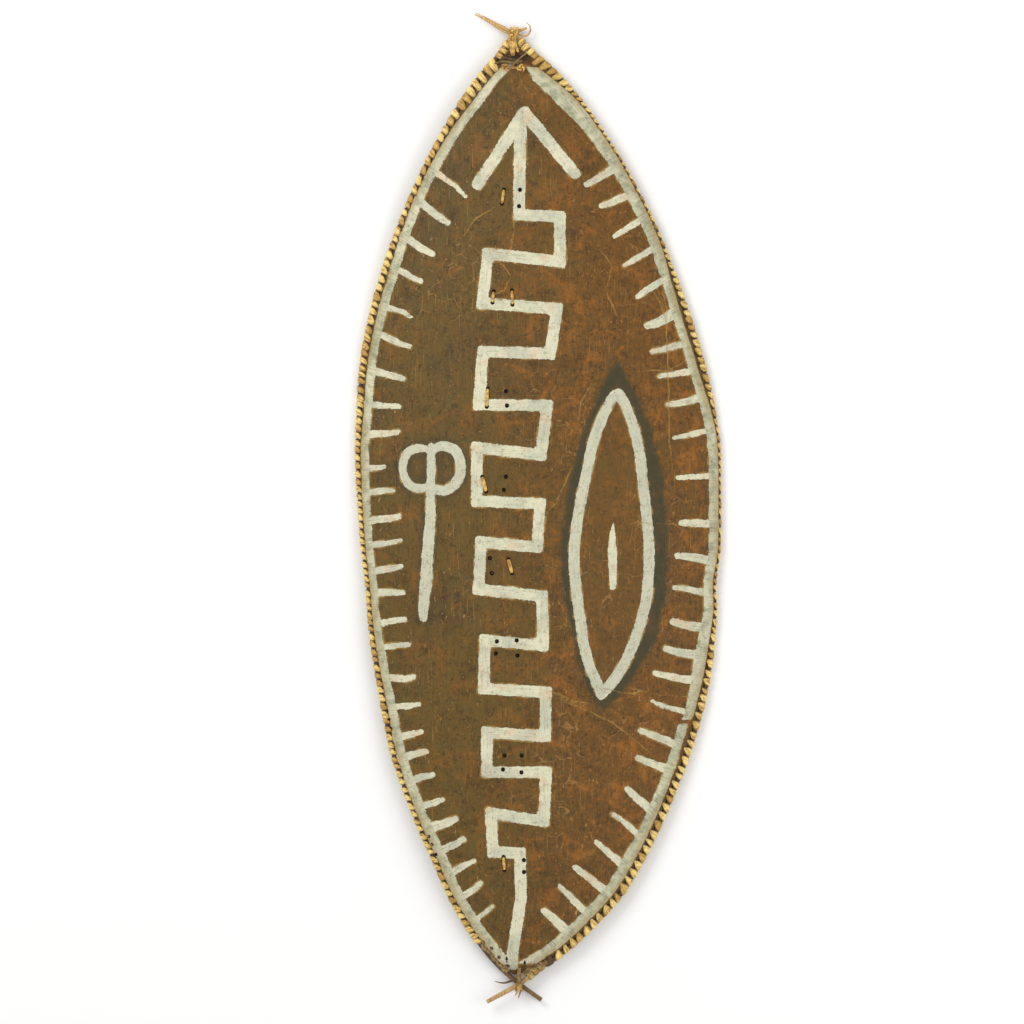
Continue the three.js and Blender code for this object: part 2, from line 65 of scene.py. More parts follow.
# Shape of the hide
# (the same driving sizes as the CAD model, so every piece goes where its solid is)
hide = {
    "length": 1208,
    "thickness": 4.5,
    "roundness": 0.08,
    "lengthBow": 51,
    "sideBow": 56,
    "turnBand": 24,
    "edgeTurn": 1.5,
    "curlDepth": 5,
    "curlAt": 330,
    "curlSpread": 170,
    "frontColumns": 184,
    "backColumns": 44,
    "rows": 400,
    "evenShare": 0.6,
    "edgeRound": 1.8,
    "flapThins": (1.7, 1.3),
    "waviness": 0.35,
    "holeSize": 4.6,
    "lacingHole": 3.2,
}
leftSide = {
    "sign": -1,
    "width": 198,
    "widestAt": 135,
    "topSwell": 1.46,
    "bottomSwell": 2.22,
    "blunt": 0.77,
    "uneven": [(75, 3, 55), (-100, -2.8, 45), (-315, 4, 55), (-455, -4.5, 35)],
    "lacingShows": [(30, 14), (60, 17), (100, 15), (125, 11), (165, 9.5), (205, 9), (270, 12), (400, 12),
                    (440, 9.5), (520, 8), (600, 7.5), (650, 9), (720, 10), (800, 8), (900, 8.5), (960, 10),
                    (985, 12)],
    "pitch": [(30, 11), (130, 12), (290, 12.3), (350, 10.2), (480, 9.8), (620, 9.8), (700, 10.5), (960, 11)],
    "boxy": [(30, 0.9), (130, 0.85), (170, 0.6), (290, 0.6), (350, 0.95), (620, 0.95), (680, 0.7),
             (960, 0.65)],
    "soiledAndShaded": [(30, 1), (120, 2.5), (160, 0.5), (960, 0.5)],
    "bandWide": [(70, 11), (110, 14), (190, 12), (280, 12), (440, 10.5), (600, 9.8), (700, 11.5), (800, 12.5),
                 (960, 13)],
    "bandRows": (57, 966),
}
rightSide = {
    "sign": 1,
    "width": 262,
    "widestAt": 48,
    "topSwell": 1.41,
    "bottomSwell": 2.44,
    "blunt": 0.705,
    "uneven": [(372, 2.6, 50), (-92, -4.5, 28), (-220, 2.2, 50), (-385, -3.2, 50), (-500, 5.5, 30)],
    "lacingShows": [(30, 14), (62, 16), (78, 12.5), (100, 6), (160, 4), (230, 5.5), (285, 9), (320, 11.5),
                    (370, 10.5), (400, 7), (440, 4.5), (560, 4), (610, 5.5), (645, 9), (690, 11.5),
                    (760, 12.4), (960, 12.6)],
    "bandWide": [(66, 9), (80, 21), (100, 25), (130, 18), (170, 15), (300, 14), (400, 14), (500, 13),
                 (600, 13), (660, 17), (708, 13), (740, 12), (850, 15), (960, 14)],
    "pitch": [(30, 10.5), (90, 9.5), (250, 10.5), (400, 10.8), (600, 11), (680, 11.5), (960, 12.2)],
    "boxy": [(30, 0.9), (90, 0.8), (250, 0.75), (290, 1.05), (400, 1.05), (440, 0.7), (600, 0.6), (660, 0.4),
             (760, 0.3), (960, 0.28)],
    "soiledAndShaded": [(30, 1), (90, 1), (250, 1), (280, 3.6), (390, 3.6), (430, 1), (640, 1.5), (960, 0.8)],
    "bandRows": (66, 965),
}
sides = (leftSide, rightSide)
half = hide["length"] / 2
halfThick = hide["thickness"] / 2


def halfWidth(side, y):
    # width * (1 - share^swell)^blunt, share being the softened way from the widest place to the tip,
    # plus a few bell-shaped bumps where the cut is fuller or leaner
    upper = y > side["widestAt"]
    reach = np.where(upper, half - side["widestAt"], half + side["widestAt"])
    round_ = hide["roundness"]
    share = np.minimum(1, np.abs(y - side["widestAt"]) / reach)
    share = (np.hypot(share, round_) - round_) / (np.hypot(1, round_) - round_)
    swell = np.where(upper, side["topSwell"], side["bottomSwell"])
    width = side["width"] + sum(more * np.exp(-(((y - at) / over) ** 2)) for at, more, over in side["uneven"])
    return width * (1 - share**swell) ** side["blunt"]


def insetFrom(side, x, y):
    # way in from one side's edge, measured square to it
    slope = halfWidth(side, y + 0.5) - halfWidth(side, y - 0.5)
    return (halfWidth(side, y) - side["sign"] * x) / np.hypot(1, slope)


def insetAt(x, y):
    return np.where(x < 0, insetFrom(leftSide, x, y), insetFrom(rightSide, x, y))


def middleHeight(x, y):
    # a dome, bow * (y / half)^2 and bow * (x / width)^2, whose outer band is bent down by share^2
    width = np.where(x < 0, leftSide["width"], rightSide["width"])
    widestAt = np.where(x < 0, leftSide["widestAt"], rightSide["widestAt"])
    sideways = hide["sideBow"] - hide["lengthBow"] * (widestAt / half) ** 2
    dome = -hide["lengthBow"] * (y / half) ** 2 - sideways * (x / width) ** 2
    curl = np.where(x < 0, 0, hide["curlDepth"] * np.exp(-(((y - hide["curlAt"]) / hide["curlSpread"]) ** 2)))
    share = np.clip(1 - insetAt(x, y) / hide["turnBand"], 0, 1)
    return dome - (hide["edgeTurn"] + curl) * share**2


def onMiddle(x, y):
    return np.stack([x, y, middleHeight(x, y)], -1)


def unit(vectors):
    return vectors / np.linalg.norm(vectors, axis=-1, keepdims=True)


def normalAt(x, y):
    slopeX = (middleHeight(x + 1, y) - middleHeight(x - 1, y)) / 2
    slopeY = (middleHeight(x, y + 1) - middleHeight(x, y - 1)) / 2
    return unit(np.stack([-slopeX, -slopeY, np.ones_like(slopeX)], -1))


def onFace(x, y, lift=0):
    # a point on the painted face, raised by lift
    x, y = np.asarray(x, float), np.asarray(y, float)
    return onMiddle(x, y) + normalAt(x, y) * np.asarray(halfThick + lift)[..., None]


# Where the lacing shows less than its snug width, the hide runs on over the withy as a flap.
lacingOutside = 9.5
lacingReachLimits = (1, 8)
flapReach = 7.0
flapBelow = 10.3
flapFullOver = 6.3


def lacingShows(side, y):
    return alongHeight(y, side["lacingShows"])


def flapShare(side, y):
    return np.clip((flapBelow - lacingShows(side, y)) / flapFullOver, 0, 1)


def lacingReach(side, y):
    return np.clip(lacingShows(side, y) - lacingOutside, *lacingReachLimits)


# Where the plan lies in the frame: the top tip thong stands over the withies' crossing, the hide's
# tips are level with each other about y = 0, and the hide's highest corner lies on the dome's face.
crossing = {"top": (-2, 10.5), "bottom": (6, 4.5), "spread": 2.2}
tipBox = np.array(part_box("tip_thong_top")) / mm
hideBox = np.array(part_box("hide")) / mm
corners = np.zeros(len(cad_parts["hide"].data.vertices) * 3)
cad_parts["hide"].data.vertices.foreach_get("co", corners)
peak = corners.reshape(-1, 3)[corners.reshape(-1, 3)[:, 2].argmax()] / mm
shift = np.array([tipBox[:, 0].mean() - crossing["top"][0], hideBox[:, 1].mean(), 0])
shift[2] = peak[2] - onFace(peak[0] - shift[0], peak[1] - shift[1])[2]
print("plan lies at", np.round(shift, 2), "mm in the frame")


# Helpers for meshes


def gridFaces(rows, columns, wrapRows=False, wrapColumns=False):
    # four-cornered faces between neighbouring points of a rows x columns grid
    index = np.arange(rows * columns).reshape(rows, columns)
    if wrapRows:
        index = np.concatenate([index, index[:1]], 0)
    if wrapColumns:
        index = np.concatenate([index, index[:, :1]], 1)
    return np.stack([index[:-1, :-1], index[:-1, 1:], index[1:, 1:], index[1:, :-1]], -1).reshape(-1, 4)


def meshFrom(name, points, faces):
    # faces is a list of arrays, each with its own number of corners; a shell that comes out inside
    # out, which its signed volume tells, is turned
    points = np.asarray(points, float)
    volume = 0
    for block in faces:
        for k in range(1, block.shape[1] - 1):
            a, b, c = points[block[:, 0]], points[block[:, k]], points[block[:, k + 1]]
            volume += np.einsum("ij,ij->", a, np.cross(b, c))
    if volume < 0:
        faces = [block[:, ::-1] for block in faces]
    loops = np.concatenate([block.ravel() for block in faces])
    sizes = np.concatenate([np.full(len(block), block.shape[1]) for block in faces])
    mesh = bpy.data.meshes.new(name)
    mesh.vertices.add(len(points))
    mesh.vertices.foreach_set("co", ((points + shift) * mm).ravel())
    mesh.loops.add(len(loops))
    mesh.loops.foreach_set("vertex_index", loops.astype(np.int32))
    mesh.polygons.add(len(sizes))
    mesh.polygons.foreach_set("loop_start", (np.cumsum(sizes) - sizes).astype(np.int32))
    mesh.update(calc_edges=True)
    mesh.validate()
    return mesh


def planOf(mesh):
    flat = np.zeros(len(mesh.vertices) * 3)
    mesh.vertices.foreach_get("co", flat)
    return flat.reshape(-1, 3) / mm - shift


def giveAttribute(mesh, name, values):
    mesh.attributes.new(name, "FLOAT", "POINT").data.foreach_set("value", np.asarray(values, np.float32))


def addPiece(name, mesh, material, nodes, sharpAngle=None):
    piece = bpy.data.objects.new(name, mesh)
    bpy.context.scene.collection.objects.link(piece)
    mesh.materials.clear()
    mesh.materials.append(material)
    mesh.polygons.foreach_set("use_smooth", np.ones(len(mesh.polygons), bool))
    if sharpAngle:
        mesh.set_sharp_from_angle(angle=np.radians(sharpAngle))
    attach(piece, "root")
    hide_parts(*nodes)
    return piece


def throughPoints(points, steps):
    # a smooth line through points (Catmull-Rom), steps stations for each span
    points = np.asarray(points, float)
    first, last = 2 * points[0] - points[1], 2 * points[-1] - points[-2]
    p = np.concatenate([[first], points, [last]])
    u = np.linspace(0, len(points) - 1, (len(points) - 1) * steps + 1)
    i = np.minimum(u.astype(int), len(points) - 2)
    t = (u - i)[:, None]
    a, b, c, d = p[i], p[i + 1], p[i + 2], p[i + 3]
    return 0.5 * (2 * b + (c - a) * t + (2 * a - 5 * b + 4 * c - d) * t**2 + (3 * b - a - 3 * c + d) * t**3)


def roundPath(points, steps):
    # the same through a closed ring of points
    points = np.asarray(points, float)
    wrapped = np.concatenate([points[-1:], points, points[:2]])
    return throughPoints(wrapped, steps)[steps:-steps - 1]


def sweep(path, width, depth, up, sides=14, squareness=1.0, closed=False):
    # a section, cos^squareness across and sin^squareness up, carried along a path
    path = np.asarray(path, float)
    if closed:
        along = unit(np.roll(path, -1, 0) - np.roll(path, 1, 0))
    else:
        along = unit(np.gradient(path, axis=0))
    across = unit(np.cross(along, np.broadcast_to(up, path.shape)))
    rise = np.cross(across, along)
    turn = 2 * np.pi * np.arange(sides) / sides
    c = np.sign(np.cos(turn)) * np.abs(np.cos(turn)) ** squareness
    s = np.sign(np.sin(turn)) * np.abs(np.sin(turn)) ** squareness
    w = np.broadcast_to(np.asarray(width, float) / 2, len(path))[:, None, None]
    d = np.broadcast_to(np.asarray(depth, float) / 2, len(path))[:, None, None]
    points = path[:, None] + across[:, None] * w * c[None, :, None] + rise[:, None] * d * s[None, :, None]
    faces = [gridFaces(len(path), sides, wrapRows=closed, wrapColumns=True)]
    if not closed:
        ring = np.arange(sides)
        faces.append(ring[None, ::-1])
        faces.append(ring[None] + (len(path) - 1) * sides)
    return points.reshape(-1, 3), faces


def joined(shells):
    # several shells as one set of points and faces
    points, faces, start = [], [], 0
    for shellPoints, shellFaces in shells:
        points.append(shellPoints)
        faces += [block + start for block in shellFaces]
        start += len(shellPoints)
    return np.concatenate(points), faces


# The rim


def rimLine(side, stations=900, lipInset=8):
    # the edge from the bottom tip to the top tip, and a frame at each station: out over the edge,
    # from a lip inside it, and up from the face
    y = -half * np.cos(np.pi * np.arange(stations + 1) / stations)
    x = side["sign"] * halfWidth(side, y)
    edge = onMiddle(x, y)
    way = unit(np.gradient(edge[:, :2], axis=0))
    inward = side["sign"] * lipInset * np.stack([-way[:, 1], way[:, 0]], -1)
    lip = onMiddle(x + inward[:, 0], y + inward[:, 1])
    along = unit(np.gradient(edge, axis=0))
    out = edge - lip
    out = unit(out - along * (out * along).sum(-1, keepdims=True))
    up = np.cross(out, along) * side["sign"]
    travelled = np.concatenate([[0], np.cumsum(np.linalg.norm(np.diff(edge, axis=0), axis=1))])
    return {"edge": edge, "out": out, "up": up, "s": travelled, "y": y}


for side in sides:
    side["rim"] = rimLine(side)


def onRim(side, s, out, up):
    # a point at distance s along the rim, so far out over the edge and up from the face
    rim = side["rim"]
    edge, outward, upward = (
        np.stack([np.interp(s, rim["s"], rim[key][:, k]) for k in range(3)], -1)
        for key in ("edge", "out", "up")
    )
    return edge + outward * np.asarray(out, float)[..., None] + upward * np.asarray(up, float)[..., None]


# Lacing: one rawhide strip wound through the hide and round the withy
# snug and flap are the strip's way round, as (out, up) from its hole in the face: over the edge, round
# the withy, back along the underside to the next hole. hug says how a point follows the hole.
lacing = {
    "endInset": 16,
    "goneAtBottomLeft": 29,
    "pitchVaries": 0.12,
    "reachVaries": 0.12,
    "widthVaries": 0.08,
    "crownVaries": 0.13,
    "pitchLimits": (7, 14),
    "snugReach": 7,
    "aboveFloor": 0.05,
    "steps": 24,
    "crown": 1.5,
    "holesShow": 0.7,
    "flapSinks": 1.5,
    "snug": [(-7, -0.4), (-6.9, 2.1), (-5.8, 2.6), (0.3, 2.6), (4.78, 2.17), (6.91, 0.68), (7.59, -1.83),
             (6.49, -4.19), (3.8, -5.3), (0.4, -4.2), (-4.5, -2.9), (-6.8, -2.6), (-7, -1.2)],
    "flap": [(4.9, -0.1), (5.1, 1.35), (5.6, 1.8), (6.6, 1.6), (7.5, 0.8), (8.0, -0.6), (8.0, -2.7),
             (7.2, -4.9), (5.0, -6.2), (1.2, -5.0), (-4.5, -2.9), (-6.8, -2.6), (-7, -1.2)],
    "hug": [1, 1, 0.85, 0, 0, 0, 0, 0, 0, 0, 0, 0, 0],
    "wide": [0.26, 0.26, 0.36, 0.7, 0.9, 1.0, 1.0, 0.96, 0.8, 0.6, 0.38, 0.3, 0.27],
    "boxyWide": [0.6, 0.62, 0.72, 0.86, 0.93, 0.97, 0.97, 0.96, 0.8, 0.6, 0.38, 0.3, 0.27],
    "advance": [0, 0, 0.04, 0.14, 0.22, 0.28, 0.33, 0.38, 0.44, 0.54, 0.74, 0.95, 1, 1],
    "section": [(-0.5, 0.1), (-0.4, 0.62), (-0.18, 1.0), (0.08, 1.05), (0.3, 0.85), (0.45, 0.5), (0.5, 0.1),
                (0.3, -0.08), (-0.3, -0.08)],
}


def lacingStrip(name, side, fromY, toY, oldTurns, further=()):
    # the way round is a closed smooth line through its points; the strip lies along it, as wide as
    # its share of the pitch, with a crowned section, and moves on by one pitch at every turn
    rim = side["rim"]
    start, end = np.interp([fromY, toY], rim["y"], rim["s"])
    holes = [start]
    while holes[-1] < end:
        pitch = alongHeight(np.interp(holes[-1], rim["s"], rim["y"]), side["pitch"])
        uneven = 1 + lacing["pitchVaries"] * np.clip(rng.standard_normal(), -1.7, 1.7)
        holes.append(holes[-1] + pitch * uneven)
    holes = start + (np.array(holes) - start) * (end - start) / (holes[-1] - start)
    if side is rightSide:
        holes = holes[::-1]
    count = len(holes) - 1
    steps = lacing["steps"]
    marks = len(lacing["snug"])
    turn = np.repeat(np.arange(count), steps)
    u = np.tile(np.arange(steps) / steps * marks, count)
    pitch = (holes[1:] - holes[:-1])[turn]
    s = holes[turn] + pitch * np.interp(u, np.arange(marks + 1), lacing["advance"])
    y = np.interp(s, rim["s"], rim["y"])
    reach = lacingReach(side, y) * (1 + lacing["reachVaries"] * rng.standard_normal(count))[turn]
    share = flapShare(side, y)[:, None]
    hug = np.array(lacing["hug"])
    base = u.astype(int)
    t = (u - base)[:, None]

    def mark(step):
        k = (base + step) % marks
        snug = np.array(lacing["snug"])[k]
        snug[:, 0] += hug[k] * (lacing["snugReach"] - reach)
        return snug + (np.array(lacing["flap"])[k] - snug) * share

    a, b, c, d = mark(-1), mark(0), mark(1), mark(2)
    way = 0.5 * (2 * b + (c - a) * t + (2 * a - 5 * b + 4 * c - d) * t**2 + (3 * b - a - 3 * c + d) * t**3)
    tangent = unit(np.gradient(way, axis=0))
    normal = np.stack([-tangent[:, 1], tangent[:, 0]], -1)
    tapered, full = (
        np.interp(u, np.arange(marks + 1), lacing[key] + lacing[key][:1]) for key in ("wide", "boxyWide")
    )
    wideShare = tapered + (full - tapered) * alongHeight(y, side["boxy"])
    fuller = (1 + lacing["widthVaries"] * rng.standard_normal(count)).clip(0.8, 1.1)[turn]
    snugPitch = np.abs(pitch).clip(*lacing["pitchLimits"])
    width = snugPitch * wideShare * np.where(tapered > 0.5, fuller, 1)
    crown = lacing["crown"] * (1 + lacing["crownVaries"] * rng.standard_normal(count)).clip(0.7, 1.2)[turn]
    slant = (0.5 * np.sign(pitch) + 0.5 * rng.standard_normal(count)[turn]) * tapered
    section = np.array(lacing["section"])
    lift = section[None, :, 1] * crown[:, None]
    points = onRim(
        side,
        (s + slant)[:, None] + section[None, :, 0] * width[:, None],
        way[:, :1] + normal[:, :1] * lift,
        way[:, 1:] + normal[:, 1:] * lift,
    )
    # the lowest turns press flat on the floor
    points[..., 2] = np.maximum(points[..., 2], lacing["aboveFloor"] - shift[2])
    ring = np.arange(len(section))
    faces = [gridFaces(len(s), len(section), wrapColumns=True), ring[None, ::-1],
             ring[None] + (len(s) - 1) * len(section)]
    tone = rng.random(count)[turn]
    old = np.zeros(count)
    old[count - oldTurns:] = 1
    each = np.ones(len(section))
    fields = [np.outer(tone, each), np.outer(old[turn], each), np.outer(tapered, each),
              np.tile(section[:, 0] * 2, (len(s), 1)), np.outer(u, each)]
    shells = [(points.reshape(-1, 3), faces)]
    marked = [np.stack([field.ravel() for field in fields], -1)]
    print(name, "has", count, "turns")

    # a small dark plug, painted shade of an awl hole, shows beside the inner end of most turns
    for k in np.flatnonzero(rng.random(count) < lacing["holesShow"]):
        s = holes[k] + (holes[k + 1] - holes[k]) * (0.55 + 0.1 * rng.standard_normal())
        y = np.interp(s, rim["s"], rim["y"])
        inset = lacingShows(side, y) - lacingOutside - 0.6 + 0.5 * rng.standard_normal()
        place = onRim(side, s, -inset, halfThick - lacing["flapSinks"] * flapShare(side, y))
        size = rng.uniform(1.6, 2.6)
        up = onRim(side, s, -inset, 9) - onRim(side, s, -inset, 0)
        shells.append(sweep([place - up * 0.06, place + up * 0.02], size * 1.3, size, (1, 0.01, 0), 7))
        # old is 1 so the plug takes the dark colour, as painted shade
        marked.append(np.tile([0.5, 1, 1, 0.5, 0], (14, 1)))
    for shell, tone, old in further:
        shells.append(shell)
        rings = len(shell[0]) // 8
        aside = np.tile(np.sin(2 * np.pi * np.arange(8) / 8), rings)
        same = np.ones(len(aside))
        way = np.repeat(np.arange(rings), 8) * 0.6
        marked.append(np.stack([tone * same, old * same, same, aside, way], -1))
    mesh = meshFrom(name, *joined(shells))
    for key, values in zip(("tone", "old", "outer", "aside", "way"), np.concatenate(marked).T):
        giveAttribute(mesh, key, values)
    return mesh


rodTurn = {"pitch": 8.6, "first": 3, "strays": 0.8, "leans": 0.06, "clear": 1.0, "thick": 1.7, "wide": 8.2}


def turnsOnRod(path, radius, fromWay, toWay, inward, bulge, old):
    # turns that go round the rod alone, where it has left the hide: rings that bulge towards the hide
    gone = np.concatenate([[0], np.cumsum(np.linalg.norm(np.diff(path, axis=0), axis=1))])

    def rodAt(way):
        return np.stack([np.interp(way, gone, path[:, k]) for k in range(3)])

    turns = []
    for middle in np.arange(fromWay + rodTurn["first"], toWay, rodTurn["pitch"]):
        middle += rng.uniform(-rodTurn["strays"], rodTurn["strays"])
        centre = rodAt(middle)
        axis = unit(rodAt(middle + 1) - centre + rng.normal(0, rodTurn["leans"], 3))
        aside = unit(np.cross(axis, [0, 0, 1]))
        aside = aside * np.sign(aside[0] * inward)
        rise = np.cross(axis, aside)
        angle = 2 * np.pi * np.arange(18) / 18
        reach = radius + rodTurn["clear"] + bulge * (np.cos(angle) > 0)
        line = centre + (reach * np.cos(angle))[:, None] * aside
        line = line + ((radius + 1.1) * np.sin(angle))[:, None] * rise
        wide = rodTurn["wide"] * rng.uniform(0.85, 1.05)
        shell = sweep(line, rodTurn["thick"], wide, axis, 8, 0.85, closed=True)
        turns.append((shell, rng.random(), old))
    return turns


# Withies: a rod up each side, and their free ends
withy = {
    "radius": 3.3,
    "solidRadius": 3.4,
    "flapRadius": 2.5,
    "snugAt": (3.8, -1.5),
    "flapAt": (4.9, -2.9),
    "endInset": 14,
    "rise": 3.6,
    "sink": 1.5,
    "tailSteps": 14,
}
leftTails = {"top": (20, 27), "bottom": (36, -36)}
rightTails = {"top": (56, 152), "bottom": (48, -151)}


def crossingPoint(end, over):
    x, gap = crossing[end]
    sign = 1 if end == "top" else -1
    y = sign * (half + gap + crossing["spread"] * withy["solidRadius"])
    return onMiddle(np.array(x, float), np.array(y)) + np.array([0, 0, over - withy["sink"]])


def withyPath(side, tails):
    # along the rim, then a smooth bend through the crossing to the free end, which points at its angle
    rim = side["rim"]
    ends = np.array([withy["endInset"] - half, half - withy["endInset"]])
    s = np.linspace(*np.interp(ends, rim["y"], rim["s"]), 300)
    y = np.interp(s, rim["s"], rim["y"])
    share = flapShare(side, y)
    outs = [withy["snugAt"][k] + (withy["flapAt"][k] - withy["snugAt"][k]) * share for k in (0, 1)]
    line = onRim(side, s, outs[0], outs[1])
    over = withy["rise"] if side is rightSide else -withy["rise"]
    steps = withy["tailSteps"]

    def tail(end, last, before):
        length, angle = tails[end]
        turn = np.radians(angle)
        cross = crossingPoint(end, over)
        free = cross + length * np.array([np.cos(turn), np.sin(turn), 0])
        return throughPoints([before, last, cross, free], steps)[steps + 1:]

    top = tail("top", line[-1], line[-8])
    bottom = tail("bottom", line[0], line[7])
    radius = withy["radius"] + (withy["flapRadius"] - withy["radius"]) * share
    path = np.concatenate([bottom[::-1], line, top])
    return path, radius, len(bottom), len(top)


def knobbly(count, size, steps=9):
    # slow uneven swelling along a rod: a few random heights joined smoothly
    heights = rng.standard_normal(steps + 1)
    return size * throughPoints(heights[:, None], count // steps + 1)[:count, 0]


def rod(points, radii, depths=None, sides=12):
    # a thin free rod through points, as thick as radii say from end to end
    path = throughPoints(points, 8)
    along = np.linspace(0, 1, len(path))
    radius = np.interp(along, np.linspace(0, 1, len(radii)), radii)
    depth = radius if depths is None else np.interp(along, np.linspace(0, 1, len(depths)), depths)
    return sweep(path, 2 * radius, 2 * depth, (0, 0, 1), sides)


def withyRod(name, side, tails, splinters):
    path, radius, before, after = withyPath(side, tails)
    radius = radius + knobbly(len(radius), 0.06, 40)
    lastTail = np.linspace(0, 1, after)
    firstTail = np.linspace(1, 0, before)
    thin = tails["thin"]
    radii = np.concatenate([
        radius[0] * np.interp(firstTail, (0, 0.5, 1), (1, 0.95, thin["bottom"])),
        radius,
        radius[-1] * np.interp(lastTail, (0, 0.45, 1), (1, 0.95, thin["top"])),
    ])
    radii *= 1 + 0.05 * knobbly(len(radii), 1, 60)
    flat = np.ones(len(radii))
    flat[-after:] = np.interp(lastTail, (0, 0.5, 0.62, 1), (1, 1, tails["flat"], tails["flat"]))
    shells = [sweep(path, 2 * radii * flat, 1.9 * radii / flat, (0, 0, 1), 14, 0.92)] + splinters
    points, faces = joined(shells)
    mesh = meshFrom(name, points, faces)
    plan = planOf(mesh)
    # bare is 1 where the rod is clear of the lacing; under the lacing it is dark with dirt and painted shade
    bare = np.clip((np.abs(plan[:, 1]) - 592) / 12, 0, 1)
    giveAttribute(mesh, "bare", np.where(plan[:, 1] < 0, bare * tails["bareBelow"], bare))
    return mesh


leftTails.update(thin={"top": 0.45, "bottom": 0.86}, flat=1.0, bareBelow=0.2)
rightTails.update(thin={"top": 0.22, "bottom": 0.8}, flat=1.45, bareBelow=0.85)


# Stave down the back, and its grip
stave = {
    "width": 18,
    "thickness": 15,
    "endShare": 0.62,
    "taper": 70,
    "endInset": 16,
    "bend": 26,
    "bendAt": 50,
    "bendSpread": 265,
    "gripAt": -17,
    "gripFlat": 58,
    "gripRise": 85,
    "gripClear": 32,
    "gap": 0.4,
    "stations": 330,
}


def staveX(y):
    return -stave["bend"] * np.exp(-(((y - stave["bendAt"]) / stave["bendSpread"]) ** 2))


def staveLift(y):
    # the arch away from the hide: clear * cos^2 of the way past the flat of the grip
    past = np.clip((np.abs(y - stave["gripAt"]) - stave["gripFlat"] / 2) / stave["gripRise"], 0, 1)
    return stave["gripClear"] * np.cos(past * np.pi / 2) ** 2


def staveAt(y):
    # the stave's middle line, the way from it to the hide, and its share of full thickness
    x = staveX(y)
    share = stave["endShare"] + (1 - stave["endShare"]) * np.clip(
        (half - stave["endInset"] - np.abs(y)) / stave["taper"], 0, 1)
    onGrip = (np.abs(y - stave["gripAt"]) <= stave["gripFlat"] / 2)[..., None]
    up = np.where(onGrip, [0.0, 0.0, 1.0], normalAt(x, y))
    depth = halfThick + stave["gap"] + staveLift(y) + stave["thickness"] * share / 2
    base = onMiddle(x, y)
    gripX = staveX(np.array(float(stave["gripAt"])))
    level = middleHeight(gripX, np.array(float(stave["gripAt"])))
    base[..., 2] = np.where(onGrip[..., 0], level, base[..., 2])
    return base - up * depth[..., None], up, share


def staveStick():
    end = half - stave["endInset"]
    y = np.linspace(-end, end, stave["stations"])
    middle, up, share = staveAt(y)
    uneven = 1 - 0.025 * np.abs(knobbly(len(y), 1, 40))
    share = share * uneven
    points, faces = sweep(middle, stave["width"] * share, stave["thickness"] * share, up, 28, 0.62)
    return meshFrom("handle_stave_wood", points, faces)


# Thongs: the stave's ties, with a stitch on the face where the photograph shows one
thong = {
    "width": 3.0,
    "depth": 1.7,
    "stitch": 3.6,
    "pull": 1.3,
    "side": 11.1,
    "gather": 0.67,
    "slack": 1.0,
    "knot": 3.1,
}
tieHoles = [
    {"left": [(504, 190), (502, 204)], "right": [(520, 190), (519, 206.5)], "stitched": ("left",)},
    {"left": [(493.7, 292), (492.6, 303)], "right": [(512, 291), (512.4, 305)],
     "stitched": ("left", "right")},
    {"left": [(488, 389), (487, 407)], "right": [(506, 391.6), (507, 406)], "stitched": ("left",)},
    {"left": [(482.5, 477), (486.4, 491.5)], "right": [(506, 477), (504, 490)], "stitched": ("left",),
     "wide": 1.35},
    {"left": [(490, 558), (492, 573)], "right": [(508.4, 559), (512, 573)], "stitched": ("right",),
     "wide": 1.3},
    {"left": [(497, 641), (496, 653)], "right": [(516.6, 640), (517.5, 655)], "stitched": ()},
    {"left": [(504.5, 755), (503, 769)], "right": [(521.7, 755), (521.4, 772)], "stitched": ()},
    {"left": [(503.6, 857), (504.5, 870)], "right": [(524, 860), (524, 872)], "stitched": ("left",)},
]
topTieHoles = {"left": (505, 67), "right": (521, 68)}
bottomTieSlits = {"left": (506.8, 960), "right": (524.7, 964)}


def underStave(y, sign):
    # where a thong turns behind the stave, on one side of it
    y = np.array(float(y))
    middle, up, share = staveAt(y)
    slope = np.abs(staveLift(y + 1) - staveLift(y - 1)) / 2
    behind = stave["thickness"] * share / 2 * np.hypot(1, slope) + thong["slack"] + 1.1 * (1 + slope)
    return middle - up * behind + np.array([sign * thong["side"] * share, 0, 0])


def strapBehind(leftHole, rightHole, y):
    # down from one hole, behind the stave and up into the other
    holes = [np.array([*hole]) for hole in (leftHole, rightHole)]
    deep = [onFace(x, y_, -1.4) for x, y_ in holes]
    below = [onFace(x, y_, -halfThick * 2 - 1.5) for x, y_ in holes]
    path = [deep[0], below[0], underStave(y, -1), underStave(y, 1), below[1], deep[1]]
    return sweep(throughPoints(path, 7), thong["depth"], thong["width"], (0, 1, 0.02), 10, 0.8)


def stitch(first, second, bulge=1.0, wide=1.0):
    # up out of one hole, over the face in a low arc and down into the next, pulled to their near sides
    pull = unit(np.subtract(second, first)) * thong["pull"]
    (x0, y0), (x1, y1) = first + pull, second - pull
    path = [onFace(x0, y0, -2.2), onFace(x0, y0, 0.4)]
    for way in (0.3, 0.7):
        path.append(onFace(x0 + (x1 - x0) * way, y0 + (y1 - y0) * way, thong["depth"] * 0.5 + 0.5 * bulge))
    path += [onFace(x1, y1, 0.4), onFace(x1, y1, -2.2)]
    width = np.interp(np.linspace(0, 1, 31), (0, 0.3, 0.5, 1), (0.65, 0.95, 1.1, 0.65))
    width *= wide * thong["stitch"]
    return sweep(throughPoints(path, 6), thong["depth"], width, (y0 - y1, x1 - x0, 0.01), 10, 0.8)


